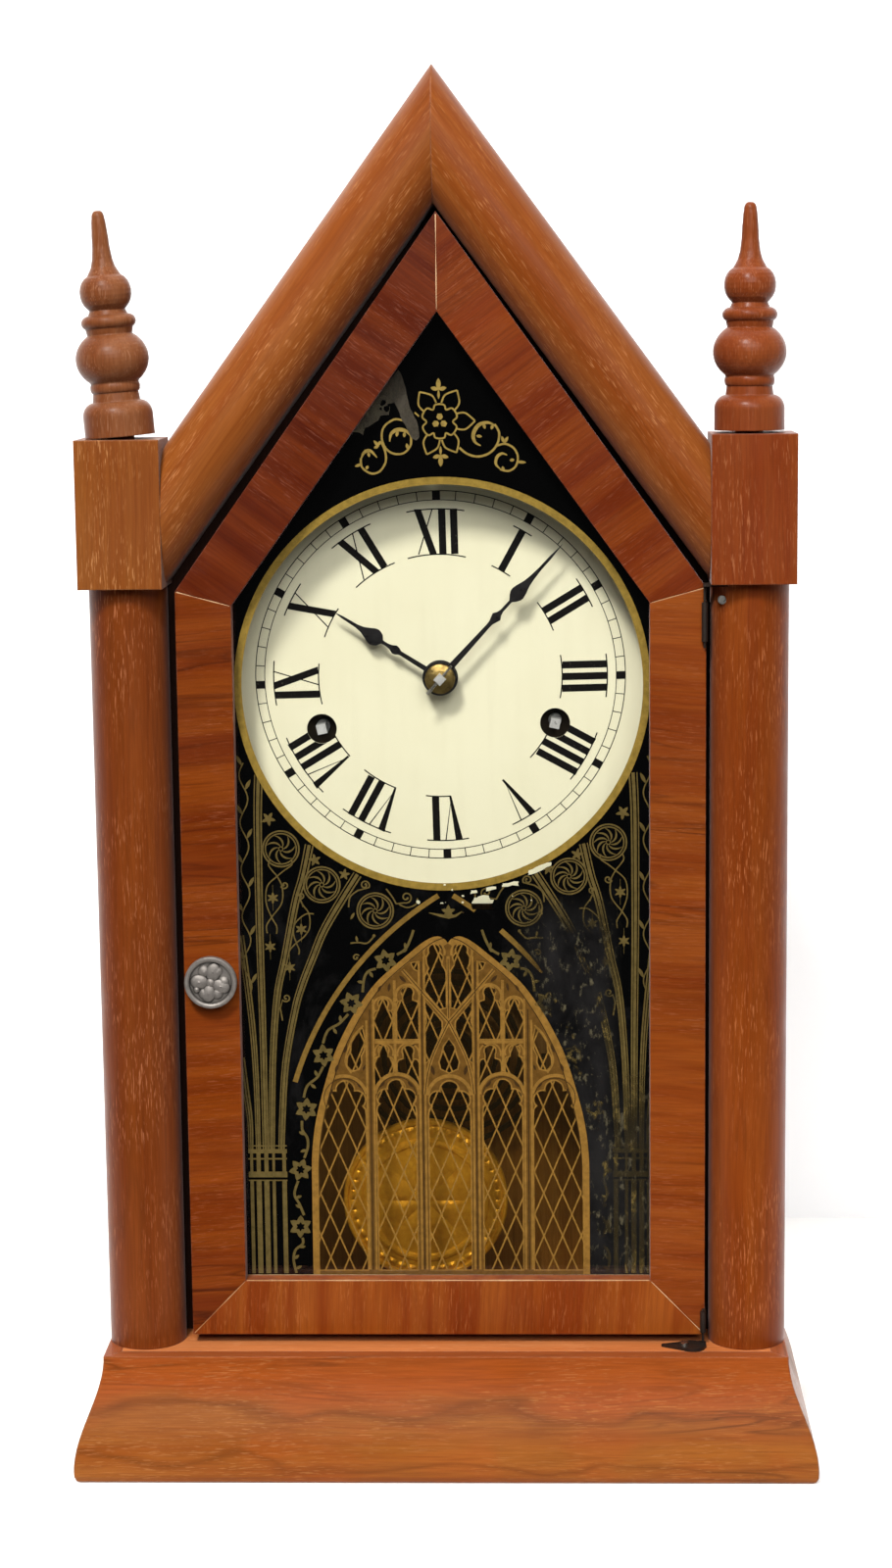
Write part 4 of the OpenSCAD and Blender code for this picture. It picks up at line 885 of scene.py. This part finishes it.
# fan of ribs, capital and clustered shafts at each side
ribs = []
for course, width in (
        ([(-66, 257.6), (-66.7, 240), (-66.8, 200), (-66.4, 160), (-66.3, 117)], 1.7),
        ([(-48, 231.6), (-50.6, 220), (-53.6, 210), (-57.7, 190), (-60.9, 175), (-63, 150), (-64, 117)],
         1.7),
        ([(-30.6, 220.6), (-37.3, 210), (-43.4, 199.5), (-47.4, 190), (-51.4, 180), (-54.4, 170),
          (-58.2, 150), (-59.8, 130), (-60.4, 117)], 1.8),
        ([(-73.9, 198), (-71.8, 180), (-70, 160), (-69.2, 140), (-69, 117)], 1.0),
        ([(-74.6, 152), (-73, 138), (-71.9, 128), (-71.8, 117)], 1.0)):
    line = smooth(course)
    ribs += stroke(line, width * 0.72, taper=lambda t: 1 - 0.25 * t)
    for shift, fine in ((-1, 0.42), (1, 0.6)):
        ribs += stroke(beside(line, shift * (width * 0.5 + 0.55), 0.62), fine)
for z0, z1 in ((118.2, 118.7), (115.6, 117.2), (113.2, 113.8), (106.4, 108.6), (105, 105.5)):
    ribs.append([(-72.8, z0), (-58.4, z0), (-58.4, z1), (-72.8, z1)])
for x, width in ((-71.6, 1.3), (-69, 1.9), (-66.1, 1.9), (-63.4, 1.2), (-59.5, 1.7)):
    ribs += stroke([(x, 69.4), (x, 105.0)], width)
    ribs += stroke([(x, 108.6), (x, 115.6)], width * 0.8)
gold_art += ribs + [mirror_x(q, 1.9) for q in ribs]

small = []
for place, size, turn in (((-62.7, 241.3), 2.7, 60), ((-46.1, 226), 2.4, 100), ((-35.4, 220.6), 2.2, 80)):
    small += star(place, 5, size, size * 0.42, turn)
for place in ((-61.7, 212), (-63, 193.8), (-51.5, 200.3), (-56, 186)):
    small += star(place, 6, 2.3, 1.0, 90)
    small += stroke([(place[0], place[1] + 4.8), (place[0], place[1] - 4.8)], 0.55, taper=swelling)
for weave in (
        [(-62.6, 226), (-63, 224.2), (-61.6, 222), (-60, 220), (-58.2, 216), (-58.5, 210), (-62.3, 204.8),
         (-64.2, 201.6), (-64, 198.8)],
        [(-54.6, 226), (-54.6, 224.2), (-57.6, 222), (-60, 220), (-63.6, 216.4), (-64.2, 210.4),
         (-62.3, 204.8), (-60.5, 201.4), (-60.6, 198.6)],
        [(-51.8, 211.4), (-50.8, 209.4), (-48.6, 206), (-48.4, 201), (-50.4, 197.6), (-53.4, 195.2),
         (-55.6, 192.8), (-56.4, 191.2)],
        [(-46.8, 206), (-50, 205.8), (-53.6, 202.6), (-54.4, 198.8), (-53.4, 195.2), (-52.4, 192.6),
         (-52.6, 190.8)]):
    small += stroke(smooth(weave), 0.5)
small += curl((-57.3, 216.8), 1.5, 200, 1.0) + curl((-51.4, 212.8), 1.2, 260, 1.0, [(-50.6, 208.6)])
small += curl((-57.5, 174.6), 1.6, 210, 1.1, smooth([(-59, 166), (-59.8, 170.6)]))
small += curl((-28, 216.6), 1.8, 330, 1.2, smooth([(-34, 208.4), (-33.4, 212.2), (-30.6, 214.6)]))
small += curl((-12.9, 212), 2.2, 250, 1.2, smooth([(-20.2, 215.2), (-18, 212.2), (-16.6, 209.6)]))
small += stroke(smooth([(-8.8, 211.6), (-9.4, 209.4), (-12.6, 208.2), (-15.6, 209.4)]), 0.55)
small += stroke(smooth([(-33.6, 195), (-30.6, 195.2), (-27.4, 195), (-24.8, 197.6)]), 0.6)
small += [disc((-24.9, 197.7), 0.6, 10), leaf((-31, 195.2), 100, 2.6, 0.9),
          leaf((-33.4, 203.8), 60, 3.0, 1.0)]
small += curl((-31.6, 189.6), 1.3, 30, 0.9)


def on_strip_stem(z):
    """The point at height z of the wavy stem beside the dial's ring."""
    return (-71.6 + 1.5 * math.sin(z * 0.36), z)


small += stroke([on_strip_stem(176 + 86 * i / 70) for i in range(71)], 0.5)
small += [leaf(on_strip_stem(z), 62 + 56 * (z % 2), 4.4, 1.3) for z in range(180, 262, 9)]
small_mirror, small_rise = 1.7, 1.6
gold_art += small + [[(2 * small_mirror - p[0], p[1] + small_rise) for p in q] for q in small]

# flower and scrolls above the dial
flower = (1.3, 384.4)


def petal_point(turn, reach):
    """A point at an angle and a distance from the flower's middle."""
    return polar(flower, turn, reach)


lobes = [90, 30, -34, -90, -146, -210]
rim = []
for n, turn in enumerate(lobes):
    gap = (turn + (lobes[n + 1] if n < 5 else lobes[0] - 360)) / 2
    reach = 6.5 if n % 3 else 6.1
    rim += [petal_point(turn + 17, reach * 0.97), petal_point(turn, reach),
            petal_point(turn - 17, reach * 0.97), petal_point(gap, 4.7)]
top_art = stroke(smooth(rim, closed=True, steps=4), 0.62, closed=True)
heart_edge = ((-42, 0.75), (-38, 1.9), (-14, 2.8), (14, 2.8), (38, 1.9), (42, 0.75))
top_art += [[petal_point(90 + 120 * k + a, r) for a, r in heart_edge] for k in range(3)]
for n, turn in enumerate((60, 0, -62, -112, 124)):
    tip = petal_point(turn, 12.6)
    for side in (-1, 1):
        spread = 24 if n in (0, 1, 4) else 22
        top_art += stroke(smooth([petal_point(turn + side * spread, 6.6),
                                  petal_point(turn + side * spread * 0.72, 9.6), tip]), 0.62)
top_art += stroke([petal_point(166, 7.6), petal_point(160, 9.4)], 0.6)
for middle, up in (((1, 395.6), 1), ((1.5, 372.3), -1)):
    top_art += [leaf(middle, 90 * up, 4.0, 1.7), leaf(middle, -90 * up, 3.4, 0.9),
                leaf(middle, 14 * up, 2.9, 1.5), leaf(middle, 180 - 14 * up, 2.9, 1.5)]
scroll_strokes = (
    # left, large and small
    ([(-12, 384.9), (-15, 385.2), (-18.6, 382.6), (-19.4, 378.6), (-18, 375), (-15.2, 373.1), (-11.6, 373.3),
      (-9.2, 376), (-9, 379.4)], 0.75),
    ([(-8.9, 379), (-10.6, 381), (-13.6, 381.6), (-16, 380.2), (-16.6, 377.4)], 1.4),
    ([(-19.6, 377.4), (-18.2, 373.6), (-18.2, 370), (-20.4, 366.8), (-23.6, 366.2), (-26.6, 368.4),
      (-27, 371.6)], 0.75),
    ([(-27, 371.2), (-25.8, 373.6), (-23.6, 374.2), (-21.2, 371.8)], 1.2),
    # right, large and small
    ([(8.2, 375), (11, 372.8), (15, 371.8), (19.2, 373.2), (21.8, 376.4), (22.4, 380.2),
      (20.8, 383.2)], 0.8),
    ([(21.4, 382.4), (18.4, 383.8), (15, 382.8), (13.2, 379.6), (13.8, 377), (15.8, 375.6)], 1.4),
    ([(21.6, 375.6), (24.6, 376.2), (27.6, 374.6), (29, 371.6), (28.2, 368.2), (25.6, 366.6),
      (22.6, 367.2)], 0.75),
    ([(23.2, 366.9), (21.2, 369), (21.6, 371.6), (23.4, 372.8), (25.2, 372.2)], 1.1))
for course, width in scroll_strokes:
    top_art += stroke(smooth(course), width, taper=None if width < 1 else swelling)
for root, turn, size in (
        ((-20.4, 375.6), 130, 3.0), ((-20.8, 376), 60, 2.0), ((-20.6, 375.8), 200, 1.8),
        ((-26.6, 369.6), 200, 2.8), ((-13.6, 381.2), 255, 2.2), ((-11.2, 380.8), 262, 2.0),
        ((-10.2, 374.6), 100, 2.2), ((-24.4, 373.8), 285, 1.9), ((-25.2, 367.6), 60, 1.6),
        ((24.2, 376.4), 60, 2.8), ((24.2, 376.4), 110, 2.8), ((28.6, 369.8), -4, 3.4),
        ((16.8, 383.4), -70, 2.0), ((14.2, 379.2), -10, 2.2), ((20.2, 383), 250, 1.8),
        ((27.8, 370.6), 190, 1.8), ((24, 366.6), 110, 1.8)):
    top_art.append(leaf(root, turn, size, 1.1))

# places where the paint has come off
random.seed(7)


def ragged(loop, amount, cuts=3):
    """A torn outline: each side is broken into short uneven ones."""
    out = []
    for i, p in enumerate(loop):
        q = loop[(i + 1) % len(loop)]
        for k in range(cuts):
            t = k / cuts
            out.append((p[0] + (q[0] - p[0]) * t + random.uniform(-amount, amount),
                        p[1] + (q[1] - p[1]) * t + random.uniform(-amount, amount)))
    return out


bare = [ragged([(-13.1, 403), (-11.9, 400.6), (-10.5, 396.6), (-9.6, 390.8), (-8.4, 387.4), (-7.1, 384.9),
                (-6.1, 381.4), (-5.9, 378.9), (-7.1, 377.9), (-8.9, 378.7), (-10.1, 381.4), (-12.1, 384.9),
                (-13.6, 388.9), (-14.8, 391.1), (-16, 390.8), (-17, 386.9), (-19.8, 386.6), (-20.5, 384.9),
                (-23.5, 382.9), (-25.2, 382.4), (-25.9, 379.9), (-27.9, 380.9), (-31.4, 380.6),
                (-21.5, 393)], 0.22, 2),
        ragged([(31.5, 219.8), (32, 221.8), (36, 223.6), (39.8, 225), (40, 223.5), (36, 221.6)], 0.3),
        ragged([(22.3, 215.8), (22.4, 217), (28.2, 217.7), (28, 216.2)], 0.25),
        ragged([(16.3, 214.3), (16.3, 215.4), (19.8, 215.9), (19.8, 214.8)], 0.22),
        ragged([(10.8, 213.2), (10.6, 214.3), (12.8, 214.7), (13, 213.4)], 0.22),
        ragged([(11, 207.4), (11.3, 211), (13.6, 212.4), (16.8, 212.4), (18.7, 210.8), (18.6, 207.2)], 0.4),
        ragged(disc((0.1, 209.2), 0.9, 6), 0.15, 1), ragged(disc((-8.5, 210.2), 0.75, 6), 0.15, 1),
        ragged(disc((7.7, 210), 0.5, 5), 0.1, 1)]
for _ in range(14):
    spot = (random.uniform(-2, 36), random.uniform(204, 219))
    size = random.uniform(0.15, 0.5)
    bare.append(ragged(disc(spot, size, 5), size * 0.3, 1))


def worn_area(s, p):
    """Share of wear: one patch from the dial down beside the window, one at the lower right."""
    split = s.add("SeparateXYZ", Vector=p)
    x, z = split.outputs[0], split.outputs[2]

    def ramp_between(value, start, end):
        return s.add("MapRange", Value=value, From_Min=start, From_Max=end).outputs[0]

    beside_window = s.times(s.times(ramp_between(x, 0.024, 0.040), ramp_between(x, 0.066, 0.058)),
                            ramp_between(z, 0.214, 0.198))
    lower_right = s.times(ramp_between(x, 0.050, 0.056), ramp_between(z, 0.150, 0.128))
    return s.math("MAXIMUM", beside_window, s.times(lower_right, 0.8))


def black_paint():
    """Black paint behind glass, with a dull haze and pale scratches where it is worn."""
    s = Shader("black_paint")
    p = s.place()
    worn = worn_area(s, p)
    height = s.add("SeparateXYZ", Vector=p).outputs[2]
    low = s.add("MapRange", Value=height, From_Min=0.232, From_Max=0.205).outputs[0]
    cloud = s.noise(p, (55, 55, 32), 6, 0.68, 0.4)
    haze = s.times(worn, s.ramp(cloud, [(0.34, 0.15), (0.64, 1)]))
    faint = s.times(s.times(s.ramp(cloud, [(0.52, 0), (0.72, 1)]), low), 0.32)
    colour = s.mix(s.math("MAXIMUM", s.times(haze, 0.6), faint), srgb(3, 3, 3), srgb(46, 44, 44))
    chips = s.ramp(s.noise(p, (330, 330, 170), 6, 0.75), [(0.56, 0), (0.66, 1)])
    colour = s.mix(s.times(chips, s.times(worn, 0.6)), colour, srgb(120, 110, 84))
    return s.surface(Base_Color=colour, Roughness=0.5, Specular_IOR_Level=0.0)


def gold_paint(name, colour, keep=1.0):
    """Gold paint, mottled; where the glass is worn it is rubbed away in patches, by the share keep."""
    s = Shader(name)
    p = s.place()
    mottle = s.noise(p, 420, 4, 0.7)
    tone = s.mix(s.ramp(mottle, [(0.38, 0), (0.68, 0.6)]), colour, altered(colour, 0.45))
    body = s.add("BsdfPrincipled", Base_Color=tone, Roughness=0.5, Specular_IOR_Level=0.0)
    if not keep:
        return s.finish(body)
    patch = s.ramp(s.noise(p, (130, 130, 80), 6, 0.75, 0.5), [(0.36, 0), (0.46, 1)])
    gone = s.times(s.times(worn_area(s, p), patch), keep)
    clear = s.add("BsdfTransparent", Color=(1.0, 1.0, 1.0))
    return s.blend(gone, body, clear)


gold = gold_paint("gold_paint", srgb(102, 86, 48))
gold_stripe = gold_paint("gold_stripe", srgb(128, 99, 46))
gold_ring = gold_paint("gold_ring", srgb(148, 121, 55), keep=0.0)
gold_top = gold_paint("gold_top", srgb(155, 130, 69), keep=0.0)
gold_tracery = gold_paint("gold_tracery", srgb(106, 74, 32), keep=0.0)
gold_bars = gold_paint("gold_bars", srgb(146, 107, 48), keep=0.0)
black = black_paint()

dial_hole = disc(ring_mid, ring_r - 0.5, 160)


def layer(name, add, lift, material, cut=(), limit=None):
    """A painted layer behind the glass, lift millimetres behind its back."""
    flat(name, add, art_y + lift, material, "door", cut, limit)


layer("glass_black", [sight], 0.1, black, [disc(ring_mid, ring_r - 0.9, 160), window] + bare)
layer("glass_gold", gold_art, 0.02, gold, [dial_hole] + bare[1:], sight)
layer("glass_stripe", stripes, 0.02, gold_stripe, [dial_hole] + bare[1:])
layer("glass_flower", top_art, 0.02, gold_top, [bare[0]])
layer("glass_ring", stroke(disc(ring_mid, ring_r - 1.1, 160), 2.7, closed=True), 0, gold_ring, bare[1:])
layer("window_gold", [window], 0.06, gold_tracery, openings)
layer("window_lattice", lattice, 0.06, gold_bars)
layer("window_rims", rims, 0.05, gold_bars, openings)
layer("window_bars", pale_bars, 0.03, gold_bars, limit=window)
layer("window_lines", dark_lines, 0, print_black("groove_ink", srgb(58, 38, 14)), limit=window)


def shade_film_material():
    """A see-through dark grey film on the bare patch of glass: painted shade, standing for the shade on the
    dial plate seen behind it.
    """
    s = Shader("painted_shade_film")
    cloud = s.noise(s.place(), (130, 130, 90), 4, 0.6)
    amount = s.ramp(cloud, [(0.36, 0.5), (0.62, 0.86)])
    clear = s.add("BsdfTransparent", Color=(0.8, 0.76, 0.70))
    film = s.add("BsdfPrincipled", Base_Color=srgb(72, 66, 58), Roughness=0.6, Specular_IOR_Level=0.0)
    return s.blend(amount, clear, film)


islands = [ragged(disc(place, size, 7), size * 0.3, 1) for place, size in (
    ((-18.7, 391), 1.0), ((-17.6, 389.2), 1.1), ((-19.6, 389), 0.5), ((-16.6, 390.4), 0.6))]
# painted shade: a dark film over the top bare patch, darkening the dial plate seen through it
layer("glass_painted_shade", [bare[0]], 0.1, shade_film_material(), islands)
layer("glass_islands", islands, 0.1, black)


def tint_material():
    """A thin see-through brown layer over the window's openings, which darkens and browns what is seen
    behind them.
    """
    s = Shader("window_tint")
    p = s.place()
    cloud = s.noise(p, 60, 4)
    shade = s.ramp(cloud, [(0.3, (0.84, 0.68, 0.34)), (0.7, (0.93, 0.80, 0.46))])
    clear = s.add("BsdfTransparent", Color=shade)
    film = s.add("BsdfPrincipled", Base_Color=srgb(70, 52, 24), Roughness=0.4, Specular_IOR_Level=0.0)
    return s.blend(0.12, clear, film)


layer("window_tint", [window], 0.2, tint_material())

# ---------- thin pale lines at the joints of the wood

pale_line = wood("wood_joint_line", (206, 168, 128), (160, 112, 70), (224, 190, 150), upright, pores=0.2,
                 seed=30, wear=0.0)
door_front = box_mm("door_stile_left")[0][1]
outer = [(-93.8, 48.7), (95.6, 48.7), (95.6, 325.2), (0.9, 457.6), (-93.8, 325.2)]
inner = [(-73.8, 69.4), (75.6, 69.4), (75.6, 319.8), (0.9, 423.1), (-73.8, 319.8)]
joint_lines = []
for a, b in zip(outer, inner):
    a, b = Vector(a), Vector(b)
    joint_lines += stroke([tuple(a + (b - a) * t) for t in (0.03, 0.35, 0.7, 0.98)], 0.45,
                          taper=lambda t: 0.55 + 0.45 * math.sin(9 * t + 1))
joint_lines += stroke([(-73.4 + 5 * i, 69.5) for i in range(30)] + [(75.2, 69.5)], 0.5,
                      taper=lambda t: 0.75 + 0.25 * math.sin(31 * t))
flat("mitre_lines", joint_lines, door_front - 0.03, pale_line, "door")

# ---------- floor, backdrop, light and camera

def stage_material(name, colour, lift):
    """A plain pale surface. Seen by the camera it is a little lighter, and it keeps the object's shadow."""
    s = Shader(name)
    path = s.add("LightPath")
    seen = s.math("MINIMUM",
                  s.plus(s.plus(path.outputs["Is Camera Ray"], path.outputs["Is Glossy Ray"]),
                         path.outputs["Is Transmission Ray"]), 1.0)
    grain = s.noise(s.place(), 6, 2)
    tone = s.mix(s.ramp(grain, [(0.3, 0), (0.7, 0.2)]), colour, altered(colour, 0.985))
    matte = s.add("BsdfDiffuse", Color=tone)
    glow = s.add("Emission", Color=colour, Strength=s.times(seen, lift))
    whole = s.add("AddShader", i0=matte.outputs[0], i1=glow.outputs[0])
    return s.finish(whole)


wide, wall_y, floor_front = 4000, 270, -140
for name, corners, colour in (
        ("floor", [(-wide, floor_front, 0), (wide, floor_front, 0), (wide, wall_y, 0), (-wide, wall_y, 0)],
         (0.93, 0.915, 0.895)),
        ("backdrop", [(-wide, wall_y, 0), (wide, wall_y, 0), (wide, wall_y, wide), (-wide, wall_y, wide)],
         (0.90, 0.905, 0.915))):
    new_piece(name, corners, [(0, 1, 2, 3)], stage_material(name + "_paper", colour, 0.2))


def lamp(name, place, aim, size, power, colour=(1, 1, 1)):
    data = bpy.data.lights.new(name, "AREA")
    data.shape = "RECTANGLE"
    data.size, data.size_y = size
    data.energy = power
    data.color = colour
    piece = bpy.data.objects.new(name, data)
    bpy.context.scene.collection.objects.link(piece)
    piece.location = place
    piece.rotation_euler = (Vector(aim) - Vector(place)).to_track_quat("-Z", "Y").to_euler()


lamp("key_lamp", (-0.5, -1.75, 2.15), (0, 0, 0.27), (0.45, 0.45), 76, (1.0, 0.985, 0.96))
lamp("fill_lamp", (0.3, -2.3, 1.6), (0, 0, 0.25), (1.8, 1.1), 50)
lamp("top_lamp", (0, 0.0, 2.0), (0, 0, 0.3), (1.6, 0.5), 8)


def surroundings(dark, pale):
    """The room round the table: pale walls at the sides and above, dark behind the camera."""
    world = bpy.data.worlds.new("room")
    world.use_nodes = True
    tree = world.node_tree
    link = tree.links.new
    direction = tree.nodes.new("ShaderNodeTexCoord").outputs["Generated"]
    split = tree.nodes.new("ShaderNodeSeparateXYZ")
    link(direction, split.inputs[0])
    facing = tree.nodes.new("ShaderNodeMapRange")
    facing.inputs["From Min"].default_value = -0.90
    facing.inputs["From Max"].default_value = -0.25
    facing.inputs["To Min"].default_value = dark
    facing.inputs["To Max"].default_value = pale
    link(split.outputs[1], facing.inputs["Value"])
    seen = tree.nodes.new("ShaderNodeMath")
    seen.operation = "MAXIMUM"
    link(facing.outputs[0], seen.inputs[0])
    link(tree.nodes.new("ShaderNodeLightPath").outputs["Is Camera Ray"], seen.inputs[1])
    sky = tree.nodes["Background"]
    sky.inputs[0].default_value = (0.97, 0.98, 1.0, 1)
    link(seen.outputs[0], sky.inputs[1])
    bpy.context.scene.world = world


surroundings(dark=0.02, pale=0.32)
bpy.context.scene.view_settings.view_transform = "Standard"

# solved from the photo: lens in millimetres for that sensor, place in metres, turns in degrees
solved_lens, solved_place, solved_turns = 67.87, (0.038403, -1.079161, 0.420476), (-1.965, -8.947, -0.648)
lens_data = bpy.data.cameras.new("camera")
lens_data.sensor_width = 36
lens_data.lens = solved_lens
lens_data.clip_start = 0.01
camera = bpy.data.objects.new("camera", lens_data)
bpy.context.scene.collection.objects.link(camera)
yaw, tilt, roll = (math.radians(a) for a in solved_turns)
ahead = Vector((math.sin(yaw) * math.cos(tilt), math.cos(yaw) * math.cos(tilt), math.sin(tilt)))
side = Vector((math.cos(yaw), -math.sin(yaw), 0))
above = side.cross(ahead)
right_axis = side * math.cos(roll) + above * math.sin(roll)
up_axis = above * math.cos(roll) - side * math.sin(roll)
turned = Matrix((right_axis, up_axis, -ahead)).transposed().to_4x4()
turned.translation = Vector(solved_place)
camera.matrix_world = turned
bpy.context.scene.camera = camera
